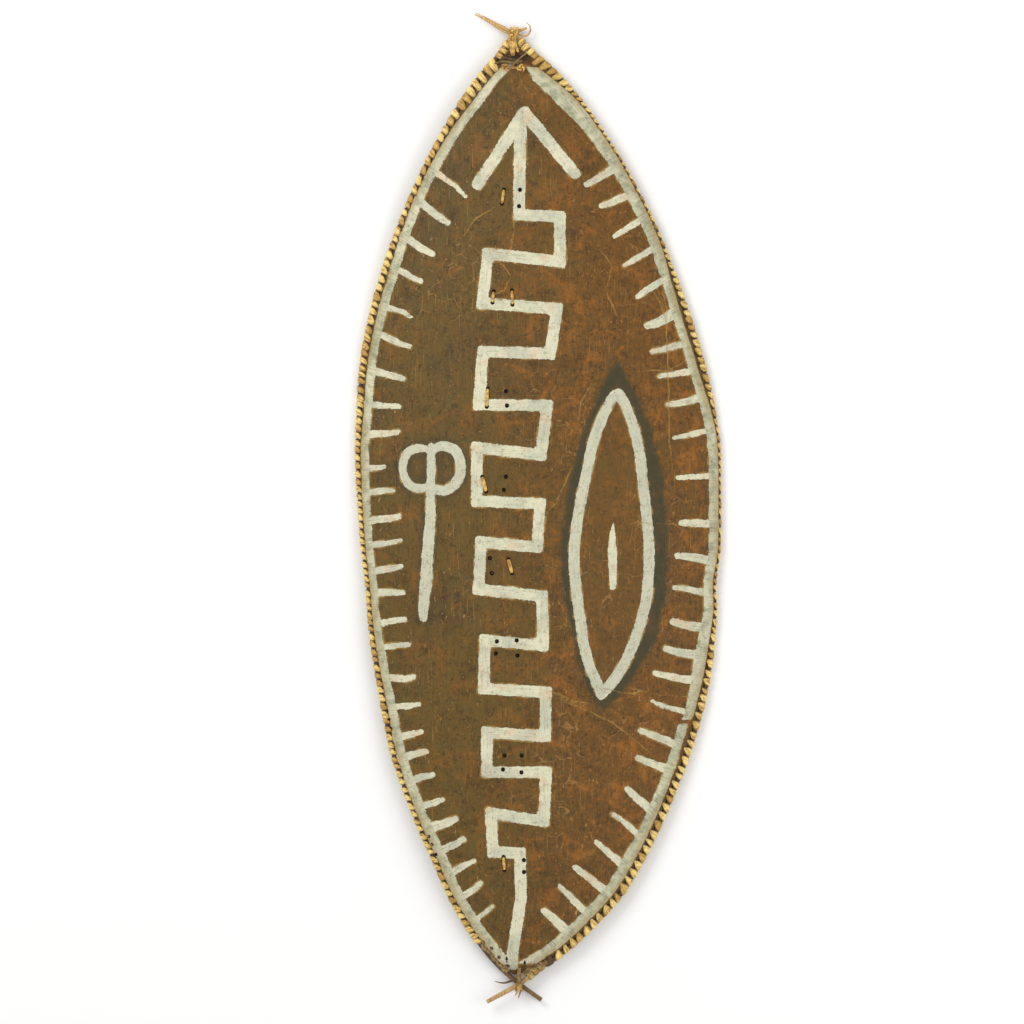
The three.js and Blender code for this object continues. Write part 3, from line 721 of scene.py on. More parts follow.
def knot(centre, size, turned=0.0, tall=0.55):
    # an overhand knot pulled tight: ((2 + cos 3t) cos 2t, (2 + cos 3t) sin 2t, sin 3t), flattened
    t = 2 * np.pi * np.arange(72) / 72 + turned
    ring = 2 + np.cos(3 * t)
    line = [ring * np.cos(2 * t + turned), ring * np.sin(2 * t + turned), tall * 3 * np.sin(3 * t)]
    path = np.asarray(centre) + np.stack(line, -1) * size / 3
    return sweep(path, size * 0.62, size * 0.5, (0, 0, 1), 8, 0.9, closed=True)


def tieMesh(k, row):
    left = [tuple(p) for p in toPlan(row["left"])]
    right = [tuple(p) for p in toPlan(row["right"])]
    middleY = np.mean([p[1] for p in left + right])
    reach = abs(left[0][1] - left[1][1]) / 2 * thong["gather"]
    shells = [strapBehind(a, b, middleY + over) for a, b, over in zip(left, right, (reach, -reach))]
    for sideName, holes in (("left", left), ("right", right)):
        if sideName in row["stitched"]:
            shells.append(stitch(holes[0], holes[1], 0.8, row.get("wide", 1.0)))
    behind = underStave(middleY, 0) - np.array([0, 0, 0.6])
    shells.append(knot(behind, thong["knot"], 0.4 * k))
    return thongMesh(f"tie_{k}", shells)


def thongMesh(name, shells, dirtAndHoleShade=0.0):
    # how dark each shell is with dirt; where a thong lies inside a hole it is darkened as well, as painted
    # shade
    mesh = meshFrom(name, *joined(shells))
    place = planOf(mesh)
    deep = halfThick - (place[:, 2] - middleHeight(*place[:, :2].T)) * normalAt(*place[:, :2].T)[:, 2]
    # painted shade: dark where the thong lies below the hide's face, inside a hole
    holeShade = np.clip((deep - 0.2) / 0.9, 0, 1) * np.clip((8 - deep) / 2, 0, 1)
    each = np.broadcast_to(dirtAndHoleShade, len(shells))
    everywhere = np.repeat(each, [len(points) for points, faces in shells])
    giveAttribute(mesh, "dirtAndHoleShade", np.maximum(everywhere, holeShade))
    return mesh


def topEndTie():
    # the upper end tie: a stitch across the face with a knot on each hole and a short bar beside it
    left, right = toPlan(topTieHoles["left"])[0], toPlan(topTieHoles["right"])[0]
    y = (left[1] + right[1]) / 2
    bar = [onFace(*p, 1.0) for p in toPlan([(495, 63.5), (503, 61), (513, 62.5), (523, 60.5)])]
    under = [onFace(*p, 1.2) for p in toPlan([(503, 57), (514, 60), (520, 66)])]
    over = [onFace(*p, 2.0) for p in toPlan([(526, 53), (520, 58), (512, 66)])]
    shells = [
        strapBehind(left, right, y),
        stitch(left, right, 0.6),
        knot(onFace(*left, 1.7), 3.9, 0.3, 0.7),
        knot(onFace(*right, 1.9), 4.6, 1.1, 0.8),
        sweep(throughPoints(bar, 6), 3.6, 1.8, (0, 0, 1), 10, 0.8),
        sweep(throughPoints(under, 6), 3, 1.8, (0, 0, 1), 10, 0.8),
        sweep(throughPoints(over, 6), 2.6, 1.6, (0, 0, 1), 10, 0.8),
    ]
    return thongMesh("end_tie_top", shells, (0.5, 0.55, 0.15, 0.2, 0.75, 0.85, 0.7))


def bottomEndTie():
    left, right = toPlan(bottomTieSlits["left"])[0], toPlan(bottomTieSlits["right"])[0]
    return thongMesh("end_tie_bottom", [strapBehind(left, right, (left[1] + right[1]) / 2)], 0.5)


# Tip bindings: turns of thong through a slot in the hide's tip and round the two crossed withies
binding = {"width": 4.2, "depth": 1.5, "spread": 3.3, "slotInset": 8, "clear": 1.3}


def bindingTurns(end, leans):
    x, gap = crossing[end]
    sign = 1 if end == "top" else -1
    slotY = sign * (half - binding["slotInset"])
    middle = crossingPoint(end, 0)
    slot = onMiddle(np.array(float(x)), np.array(float(slotY)))
    up = normalAt(np.array(float(x)), np.array(float(slotY)))
    stack = withy["rise"] + withy["solidRadius"] + binding["clear"]
    girth = crossing["spread"] * withy["solidRadius"] + binding["clear"]
    shells = []
    for k, lean in enumerate(leans):
        across = binding["spread"] * (k - (len(leans) - 1) / 2)
        near = np.array([across * 0.3, 0, 0])

        def corner(out, rise, share):
            return middle + np.array([across + lean * share, sign * out, rise])

        ring = [slot + near + up * (halfThick + binding["clear"]), corner(-girth * 0.45, stack, -0.6),
                corner(girth * 0.45, stack, 0.6), corner(girth, 2.6, 1), corner(girth, -2.6, 1),
                corner(girth * 0.5, -stack, 0.4), corner(-girth * 0.5, -stack, -0.4),
                slot + near - up * (halfThick + binding["clear"])]
        way = roundPath(ring, 7)
        shells.append(sweep(way, binding["depth"], binding["width"], (1, 0, 0.01), 10, 0.8, True))
    return shells


def topBinding():
    # three turns, a strip that runs down the face from them, and the loose ends of the knot
    cross = crossingPoint("top", withy["rise"] + 5)
    downFace = (((514, 40), 5.5), ((516, 46), 3.4), ((518, 52), 2.0))
    strip = [cross + np.array([2, -3, 0.6])]
    strip += [onFace(*toPlan(pixel)[0], above) for pixel, above in downFace]
    end = [cross + np.array([0, 0, 0.8]), cross + np.array([3, 5, 2.0]), cross + np.array([2, 11, 0.5])]
    shells = bindingTurns("top", (1.5, -1.0, 2.0))
    shells += [
        rod(strip, (2.2, 2.0, 1.7, 1.6), (0.8, 0.8, 0.8)),
        rod(end, (1.6, 1.2, 0.5), (0.8, 0.6, 0.4)),
        knot(cross + np.array([0, 1, 0.6]), 4.6, 0.8, 0.6),
    ]
    return thongMesh("tip_binding_top", shells, (0.4, 0.15, 0.25, 0.3, 0.1, 0.2))


def bottomBinding():
    cross = crossingPoint("bottom", withy["rise"] + 4.6)
    ends = [
        [cross + np.array([-3, 2, 0]), cross + np.array([-1, -6, 0.4]), cross + np.array([-5, -15, -2])],
        [cross + np.array([2, 0, 0]), cross + np.array([2, -8, 0]), cross + np.array([-1, -18, -3])],
    ]
    shells = bindingTurns("bottom", (-1.5, 1.5))
    shells += [rod(line, (1.9, 1.4, 0.6), (0.8, 0.7, 0.4)) for line in ends]
    return thongMesh("tip_binding_bottom", shells, (0.62, 0.55, 0.45, 0.4))


# Painting: strokes as lines of pixels, each with its half widths in millimetres
paint = {
    "meanderHalf": 7.6,
    "arrowHalf": 8.2,
    "tickHalf": (5.4, 3.6),
    "barHalves": (5.2, 5.6, 5.2),
    "handleHalves": (5.8, 7.0, 7.7, 7.9, 6.8, 5.0),
    "leftBowHalves": (3.4, 5.6, 5.9, 5.2, 6.0, 5.6, 5.0),
    "rightBowHalves": (4.6, 6.2, 6.9, 6.6, 7.0, 6.6, 6.0),
    "lensHalves": (6.6, 7.2, 7.2, 7.0),
    "slitHalves": (0.7, 4.2, 6.2, 5.6, 4.2),
    "arrowRound": 6,
    "fullyRound": 99,
    "cornerRound": 3.2,
    "markHaloReach": 6,
    "bandMargin": 0.8,
    "bandBreakRow": 722,
}
arrow = [
    [(524, 113), (478, 184)],
    [(525, 113), (575, 173)],
    [(520.5, 120), (519, 215)],
]
meander = [
    (519, 215), (560, 217), (560, 262), (488, 254), (482, 304), (557, 309), (550, 354), (483, 352),
    (479, 405), (547, 406), (541, 455), (477, 448), (477, 501), (540, 504), (537, 547), (481, 542),
    (479, 589), (542, 596), (543, 645), (485, 640), (484, 688), (546, 692), (545, 736), (487, 732),
    (487, 772), (546, 772), (544, 821), (491, 813), (493, 852), (520, 853), (521, 899), (513, 950),
    (512, 965),
]
markBows = {
    "left": [(431, 453), (424, 448.8), (414, 449), (406, 455), (402.6, 467), (404.6, 478.5), (411.5, 486.5),
             (421.5, 488.6), (430, 486)],
    "right": [(431, 453), (437, 448), (446.5, 446.3), (456, 451.5), (460.3, 463), (459.6, 476.5), (453, 486),
              (443.5, 490.8), (433, 489)],
}
markBar = [(431, 447), (431.5, 468), (430.5, 488)]
markHandle = [(430.6, 493), (430.3, 524), (427.8, 553), (426.2, 582), (423.4, 609), (423.4, 618)]
lensSides = {
    "left": [(619, 394), (611, 400), (595, 436), (586, 475), (577, 521), (574, 562), (579, 612), (587, 658),
             (601, 693)],
    "right": [(619, 394), (627, 409), (638, 445), (643, 484), (647, 521), (649, 555), (646, 601), (632, 647),
              (616, 677), (601, 694)],
}
lensSlit = [(613, 520), (612.3, 536), (612, 552), (612.5, 572), (613, 587)]
lensWash = [
    (360, 616, 617), (375, 606, 627), (400, 594, 641), (430, 582, 653), (480, 568, 665), (550, 559, 670),
    (600, 563, 667), (640, 572, 658), (690, 585, 626), (712, 603, 604),
]
leftTicks = [
    ((435, 172), (469, 199)), ((421, 202), (451, 225)), ((405, 237), (436, 256)), ((393, 266), (424, 283)),
    ((384, 307), (414, 318)), ((381, 334), (413, 348)), ((375, 371), (407, 380)), ((369, 404), (403, 407)),
    ((369, 434), (401, 432)), ((368, 468), (386, 467)), ((365, 493), (396, 490)), ((371, 520), (403, 516)),
    ((372, 545), (404, 540)), ((375, 571), (404, 566)), ((378, 593), (406, 593)), ((380, 624), (408, 619)),
    ((382, 648), (412, 644)), ((390, 678), (416, 677)), ((395, 707), (422, 704)), ((397, 738), (424, 731)),
    ((402, 758), (429, 751)), ((408, 782), (435, 774)), ((420, 807), (445, 799)), ((432, 828), (458, 818)),
    ((441, 851), (466, 838)), ((452, 873), (476, 860)), ((463, 897), (482, 882)), ((477, 920), (494, 905)),
]
rightTicks = [
    ((613, 169), (584, 186)), ((627, 195), (599, 207)), ((637, 222), (612, 238)), ((649, 251), (622, 267)),
    ((661, 281), (635, 298)), ((671, 315), (645, 327)), ((681, 344), (649, 352)), ((693, 371), (655, 377)),
    ((698, 398), (665, 405)), ((705, 431), (670, 439)), ((711, 476), (674, 478)), ((714, 524), (677, 523)),
    ((709, 560), (674, 555)), ((702, 592), (671, 587)), ((700, 627), (670, 621)), ((698, 655), (662, 648)),
    ((690, 680), (651, 672)), ((686, 712), (648, 700)), ((674, 744), (637, 729)), ((665, 769), (635, 757)),
    ((647, 807), (625, 787)), ((637, 834), (610, 812)), ((619, 862), (594, 840)), ((601, 888), (572, 865)),
    ((583, 910), (557, 884)), ((563, 928), (542, 909)),
]
creases = [
    [(556, 698), (580, 707), (610, 721), (630, 736), (643, 747), (653, 756), (672, 765), (690, 771)],
    [(648, 284), (659, 300), (666, 318), (667, 345), (668, 362), (669, 400), (669, 438), (673, 470)],
    [(631, 371), (643, 372), (652, 370), (664, 371), (676, 366), (688, 360)],
    [(662, 290), (666, 305), (668, 318)],
    [(622, 524), (640, 523), (674, 524), (690, 525), (716, 527)],
    [(545, 690), (560, 694), (572, 700), (590, 703)],
    [(640, 512), (634, 540), (636, 560)],
    [(598, 687), (620, 692), (647, 695)],
    [(512, 212), (514, 232), (511, 249), (505, 257)],
    [(462, 238), (475, 219), (495, 207)],
    [(572, 466), (568, 476), (556, 503), (547, 513), (541, 545)],
    [(592, 384), (586, 392), (580, 405), (578, 430)],
    [(628, 688), (660, 695), (697, 698)],
    [(500, 262), (511, 276), (505, 290), (484, 300)],
    [(600, 250), (612, 265), (606, 292), (618, 318)],
]


def segmentDistance(plan, start, end, halfStart, halfEnd, corner):
    # signed distance from a stroke that is a box with rounded corners, half as wide as its two halves
    run = end - start
    length = np.linalg.norm(run)
    way = run / length
    offset = plan - start
    along = offset @ way
    across = offset @ np.array([-way[1], way[0]])
    width = halfStart + (halfEnd - halfStart) * np.clip(along / length, 0, 1)
    corner = np.minimum(corner, width * 0.999)
    past = np.abs(along - length / 2) - length / 2 - width + corner
    beside = np.abs(across) - width + corner
    outside = np.hypot(np.maximum(past, 0), np.maximum(beside, 0))
    return outside + np.minimum(np.maximum(past, beside), 0) - corner, along, across


def strokeFields(plan):
    # for each point: signed distance to the nearest brush stroke, and how far along and across it lies
    best = np.full(len(plan), 999.0)
    along = np.zeros(len(plan))
    across = np.zeros(len(plan))
    strokes = []
    fullyRound = paint["fullyRound"]

    def addLine(pixels, halves, corner):
        line = toPlan(pixels)
        widths = np.interp(np.linspace(0, 1, len(line)), np.linspace(0, 1, len(halves)), halves)
        travelled = rng.random() * 500
        for k in range(len(line) - 1):
            strokes.append((line[k], line[k + 1], widths[k], widths[k + 1], corner, travelled))
            travelled += np.linalg.norm(line[k + 1] - line[k])

    for line in arrow:
        addLine(line, (paint["arrowHalf"], paint["arrowHalf"] * 0.93), paint["arrowRound"])
    addLine(meander, (paint["meanderHalf"],) * 2, paint["cornerRound"])
    addLine(markBar, paint["barHalves"], fullyRound)
    addLine(markHandle, paint["handleHalves"], fullyRound)
    addLine(throughPoints(markBows["left"], 4), paint["leftBowHalves"], fullyRound)
    addLine(throughPoints(markBows["right"], 4), paint["rightBowHalves"], fullyRound)
    for line in lensSides.values():
        addLine(throughPoints(line, 4), paint["lensHalves"], fullyRound)
    addLine(lensSlit, paint["slitHalves"], fullyRound)
    for ticks in (leftTicks, rightTicks):
        for root, tip in ticks:
            root, tip = np.array(root, float), np.array(tip, float)
            swell = 1 + 0.12 * rng.standard_normal()
            middle = root + (tip - root) * 0.55 + rng.standard_normal(2) * 0.8
            line = [root - (tip - root) * 0.12, middle, tip - (tip - root) * 0.1]
            addLine(line, (paint["tickHalf"][0] * swell, paint["tickHalf"][1] * swell), fullyRound)
    for start, end, halfStart, halfEnd, corner, travelled in strokes:
        low = np.minimum(start, end) - 30
        high = np.maximum(start, end) + 30
        near = np.flatnonzero(((plan > low) & (plan < high)).all(1))
        distance, way, side = segmentDistance(plan[near], start, end, halfStart, halfEnd, corner)
        closer = distance < best[near]
        best[near[closer]] = distance[closer]
        along[near[closer]] = way[closer] + travelled
        across[near[closer]] = side[closer]
    return best, along, across


def washFields(plan):
    # how far a point is outside the dark wash round the lens and round the mark, and how far inside the lens
    row = photo["zero"][1] - plan[:, 1] / photo["pixel"]
    rows, washLow, washHigh = np.array(lensWash, float).T
    low, high = (
        toPlan(np.stack([np.interp(row, rows, edge), row], -1))[:, 0] for edge in (washLow, washHigh)
    )
    beyondRows = np.maximum(rows[0] - row, row - rows[-1]) * photo["pixel"]
    lensOut = np.maximum(np.maximum(low - plan[:, 0], plan[:, 0] - high), beyondRows)
    edges = [toPlan(throughPoints(line, 4))[::-1] for line in lensSides.values()]
    low, high = (np.interp(plan[:, 1], edge[:, 1], edge[:, 0], left=900, right=900) for edge in edges)
    within = np.minimum(plan[:, 0] - low, high - plan[:, 0])
    markOut = np.full(len(plan), 60.0)
    for line in (markHandle, markBar, *markBows.values()):
        for start, end in zip(toPlan(line)[:-1], toPlan(line)[1:]):
            away = segmentDistance(plan, start, end, 6, 6, 6)[0] - paint["markHaloReach"]
            markOut = np.minimum(markOut, away)
    return np.where(within > 0, 6, lensOut), markOut, within.clip(-30, 30)


def bandField(plan):
    # the painted border: a band of its own width beside the lacing of each side, broken at one place
    best = np.full(len(plan), 999.0)
    for side in sides:
        y = plan[:, 1]
        fromOutside = insetFrom(side, plan[:, 0], y) + lacingOutside
        wide = alongHeight(y, side["bandWide"])
        near = lacingShows(side, y) + paint["bandMargin"]
        if side is rightSide:
            row = photo["zero"][1] - y / photo["pixel"]
            breakRow = paint["bandBreakRow"]
            near = near + np.interp(row, (breakRow - 5, breakRow + 2, 800), (0, 4.5, 0))
        distance = np.abs(fromOutside - near - wide / 2) - wide / 2
        if side is rightSide:
            distance = np.maximum(distance, 2.2 - np.abs(row - paint["bandBreakRow"]) * photo["pixel"])
        top, bottom = ((photo["zero"][1] - end) * photo["pixel"] for end in side["bandRows"])
        best = np.minimum(best, np.maximum(distance, np.maximum(y - top, bottom - y)))
    return best


def creaseField(plan):
    # signed distance to the nearest crease line, and how strongly it shows, fading at its ends
    best = np.full(len(plan), 60.0)
    shows = np.zeros(len(plan))
    for line in creases:
        points = toPlan(line)
        steps = np.linalg.norm(np.diff(points, axis=0), axis=1)
        whole = steps.sum()
        travelled = 0
        for start, end, length in zip(points[:-1], points[1:], steps):
            way = (end - start) / length
            offset = plan - start
            along = np.clip(offset @ way, 0, length)
            gap = offset - along[:, None] * way
            distance = np.hypot(*gap.T)
            sign = np.sign(offset @ np.array([-way[1], way[0]]))
            closer = distance < np.abs(best)
            best[closer] = (distance * sign)[closer]
            place = (along + travelled) / whole
            shows[closer] = np.clip(6 * np.minimum(place, 1 - place) + 0.15, 0, 1)[closer]
            travelled += length
    return best, shows


# Hide: two faces that meet in a rounded edge, pierced by awl holes
spareHoles = [(387, 711), (389, 720), (391, 729), (429, 837), (432, 845), (436, 855)]
bareStretch = {"from": -596, "to": -572, "count": 3, "inset": 5}


def edgeOf(side, y):
    # half width of the hide with its flap
    slope = halfWidth(side, y + 0.5) - halfWidth(side, y - 0.5)
    return halfWidth(side, y) + flapReach * flapShare(side, y) * np.hypot(1, slope)


def crowded(share):
    # evenly spaced shares of -1 to 1, drawn together a little towards the two ends
    even = hide["evenShare"]
    return even * share + (1 - even) * np.sin(np.pi * share / 2)


def hideLayer(y, columns, sign):
    # x = edge * u and y on a grid; the layer stands off the middle by half the thickness, which
    # thins out under a flap and rounds off to nothing at the edge; only the face has slow waves
    u = crowded(np.linspace(-1, 1, columns + 1))
    x = u * np.where(u < 0, edgeOf(leftSide, y)[:, None], edgeOf(rightSide, y)[:, None])
    y = np.broadcast_to(y[:, None], x.shape)
    inset = insetAt(x, y)
    beyond = np.clip(-inset / flapReach, 0, 1)
    toEdge = inset + flapReach * np.where(x < 0, flapShare(leftSide, y), flapShare(rightSide, y))
    turn = np.clip(toEdge / hide["edgeRound"], 0, 1)
    rounded = np.sqrt(1 - (1 - turn) ** 2)
    rounded[:, [0, -1]] = 0
    thins = hide["flapThins"][0] * beyond**2 if sign > 0 else hide["flapThins"][1] * beyond
    wave = np.sin(x / 31 + 1.3) * np.sin(y / 47) + 0.6 * np.sin(x / 17 + y / 23)
    wave = wave + 0.5 * np.sin(x / 9 - y / 14)
    wave = wave * hide["waviness"] * np.clip((inset - 8) / 20, 0, 1) * (sign > 0)
    return onMiddle(x, y) + normalAt(x, y) * (sign * (halfThick - thins) * rounded + wave)[..., None]


def hideSheet():
    # a face and a back that share their edge points and the two tips
    y = half * crowded(np.linspace(-1, 1, hide["rows"] + 1)[1:-1])
    front = hideLayer(y, hide["frontColumns"], 1)
    back = hideLayer(y, hide["backColumns"], -1)[:, 1:-1]
    tips = onMiddle(np.zeros(2), np.array([-half, half]))
    points = np.concatenate([front.reshape(-1, 3), back.reshape(-1, 3), tips])
    frontAt = np.arange(front.shape[0] * front.shape[1]).reshape(front.shape[:2])
    inner = frontAt.size + np.arange(back.shape[0] * back.shape[1]).reshape(back.shape[:2])
    backAt = np.concatenate([frontAt[:, :1], inner, frontAt[:, -1:]], 1)
    faces = []
    for grid, turned in ((frontAt, 1), (backAt, -1)):
        quads = np.stack([grid[:-1, :-1], grid[:-1, 1:], grid[1:, 1:], grid[1:, :-1]], -1).reshape(-1, 4)
        low, high = (np.full(grid.shape[1] - 1, len(points) - 2 + k) for k in (0, 1))
        faces.append(quads[:, ::turned])
        faces.append(np.stack([low, grid[0, 1:], grid[0, :-1]], -1)[:, ::turned])
        faces.append(np.stack([high, grid[-1, :-1], grid[-1, 1:]], -1)[:, ::turned])
    return meshFrom("hide_sheet", points, faces)


def awlHoles():
    # every hole as its place on the plan and its size across and along
    size = hide["holeSize"]
    rows = [toPlan(row[key]) for row in tieHoles for key in ("left", "right")]
    holes = [(*p, size, size * 1.1) for row in rows for p in row]
    holes += [(*toPlan(topTieHoles[key])[0], size, size) for key in ("left", "right")]
    holes += [(*toPlan(bottomTieSlits[key])[0], 2.4, 9) for key in ("left", "right")]
    holes += [(*p, hide["lacingHole"], hide["lacingHole"]) for p in toPlan(spareHoles)]
    for end, sign in (("top", 1), ("bottom", -1)):
        holes.append((crossing[end][0], sign * (half - binding["slotInset"]), 8, 2.6))
    for y in np.linspace(bareStretch["from"], bareStretch["to"], bareStretch["count"]):
        s = np.interp(y, leftSide["rim"]["y"], leftSide["rim"]["s"])
        holes.append((*onRim(leftSide, s, -bareStretch["inset"], 0)[:2], 3.4, 3.4))
    return holes


def pierced(mesh, holes):
    shells = []
    for x, y, across, along in holes:
        place, up = onMiddle(np.array(x), np.array(y)), normalAt(np.array(x), np.array(y))
        path = np.array([place - 6 * up, place, place + 6 * up])
        shells.append(sweep(path, across, along, (0, 1, 0.001), 12))
    body = bpy.data.objects.new("uncut", mesh)
    drill = bpy.data.objects.new("drill", meshFrom("drill", *joined(shells)))
    for piece in (body, drill):
        bpy.context.scene.collection.objects.link(piece)
    cut = body.modifiers.new("holes", "BOOLEAN")
    cut.operation = "DIFFERENCE"
    cut.object = drill
    cut.solver = "MANIFOLD"
    finished = bpy.data.meshes.new_from_object(body.evaluated_get(bpy.context.evaluated_depsgraph_get()))
    print("hide pierced:", len(mesh.polygons), "faces before and", len(finished.polygons), "after")
    for piece in (body, drill):
        bpy.data.objects.remove(piece)
    return finished


def hideMesh():
    holes = awlHoles()
    mesh = pierced(hideSheet(), holes)
    place = planOf(mesh)
    plan = place[:, :2]
    stroke, along, across = strokeFields(plan)
    lensOut, markOut, inLens = washFields(plan)
    crease, shows = creaseField(plan)
    y = plan[:, 1]
    fromHoles = [np.hypot(*(plan - [hx, hy]).T) - min(wide, long) / 2 for hx, hy, wide, long in holes]
    # distance past the dark strip of dirt and painted shade beside the lacing
    under = np.min([insetFrom(side, plan[:, 0], y) + lacingOutside - lacingShows(side, y)
                    - alongHeight(y, side["soiledAndShaded"]) for side in sides], 0)
    fields = {
        "stroke": stroke,
        "along": along,
        "across": across,
        "lensOut": lensOut.clip(-60, 60),
        "markOut": markOut,
        "inLens": inLens,
        "tipDirt": alongHeight(y, [(56, 1), (72, 0), (958, 0), (975, 0.7)]),
        "band": bandField(plan),
        "crease": crease,
        "creaseShows": shows,
        "fromHoles": np.min(fromHoles, 0).clip(max=40),
        "pastLacing": np.minimum(under, 60),
        "front": (place[:, 2] - middleHeight(*plan.T)) / halfThick * 0.5 + 0.5,
    }
    for name, values in fields.items():
        giveAttribute(mesh, name, values)
    return mesh


# Shaders


class Wire:
    # a socket that takes part in sums: each operator adds a Math node
    def __init__(self, maker, socket):
        self.maker = maker
        self.socket = socket

    def __add__(self, other):
        return self.maker.sum("ADD", self, other)

    def __radd__(self, other):
        return self.maker.sum("ADD", other, self)

    def __sub__(self, other):
        return self.maker.sum("SUBTRACT", self, other)

    def __rsub__(self, other):
        return self.maker.sum("SUBTRACT", other, self)

    def __mul__(self, other):
        return self.maker.sum("MULTIPLY", self, other)

    def __rmul__(self, other):
        return self.maker.sum("MULTIPLY", other, self)

    def __abs__(self):
        return self.maker.sum("ABSOLUTE", self)


class Finish:
    # one material: its nodes, and the shader that they feed
    def __init__(self, name):
        self.material = bpy.data.materials.new(name)
        self.material.use_nodes = True
        self.tree = self.material.node_tree
        self.shader = self.tree.nodes["Principled BSDF"]
        self.place = self.node("ShaderNodeTexCoord", output="Object")

    def node(self, kind, settings=None, values=None, output=0):
        node = self.tree.nodes.new(kind)
        for key, value in (settings or {}).items():
            setattr(node, key, value)
        for key, value in (values or {}).items():
            self.give(node, key, value)
        return Wire(self, node.outputs[output])

    def give(self, node, key, value):
        socket = node.inputs[key]
        if isinstance(value, Wire):
            self.tree.links.new(value.socket, socket)
        elif isinstance(value, tuple) and len(value) == 3 and socket.type == "RGBA":
            socket.default_value = (*value, 1)
        else:
            socket.default_value = value

    def sum(self, operation, *values):
        return self.node("ShaderNodeMath", {"operation": operation}, dict(enumerate(values)))

    def rise(self, value, low, high):
        # 0 below low, 1 above high, and a soft step between
        values = {"Value": value, "From Min": low, "From Max": high}
        return self.node("ShaderNodeMapRange", {"interpolation_type": "SMOOTHSTEP"}, values)

    def fall(self, value, low, high):
        return 1 - self.rise(value, low, high)

    def mix(self, share, first, second):
        return self.node("ShaderNodeMix", {"data_type": "RGBA"}, {0: share, 6: first, 7: second}, 2)

    def over(self, under, *coats):
        # coats laid over a colour one after another, each as how much of it shows, and its colour
        for share, coat in coats:
            under = self.mix(share, under, coat)
        return under

    def attribute(self, name):
        return self.node("ShaderNodeAttribute", {"attribute_name": name}, output="Fac")

    def noise(self, scale, detail=3.0, rough=0.55, at=None, bend=0.0):
        values = {"Vector": at or self.place, "Scale": scale, "Detail": detail, "Roughness": rough}
        return self.node("ShaderNodeTexNoise", {}, {**values, "Distortion": bend})

    def stretched(self, scale, turn=0.0):
        # object coordinates, turned about Z and scaled differently along each axis
        values = {"Vector": self.place, "Rotation": (0, 0, turn), "Scale": scale}
        return self.node("ShaderNodeMapping", {}, values)

    def feed(self, **sockets):
        for key, value in sockets.items():
            self.give(self.shader, key.replace("_", " "), value)

    def bump(self, height, distance, strength=1.0):
        values = {"Height": height, "Distance": distance, "Strength": strength}
        self.feed(Normal=self.node("ShaderNodeBump", {}, values))


hideLook = {
    "olive": (0.121, 0.072, 0.0175),
    "leaf": (0.110, 0.083, 0.021),
    "smoky": (0.082, 0.056, 0.0205),
    "brown": (0.142, 0.064, 0.0125),
    "orange": (0.30, 0.110, 0.014),
    "dark": (0.030, 0.018, 0.006),
    "rubbed": (0.46, 0.26, 0.085),
    "wash": (0.040, 0.042, 0.021),
    "cream": (0.66, 0.635, 0.45),
    "creamGrey": (0.52, 0.52, 0.385),
    "creamPink": (0.66, 0.50, 0.33),
    "border": (0.52, 0.505, 0.345),
    "borderDull": (0.28, 0.295, 0.195),
    "ochre": (0.34, 0.19, 0.045),
    "soilAndShade": (0.022, 0.012, 0.005),
    "edge": (0.092, 0.049, 0.014),
    "stain": (0.36, 0.235, 0.085),
    "back": (0.24, 0.15, 0.065),
    "backDark": (0.14, 0.083, 0.036),
}


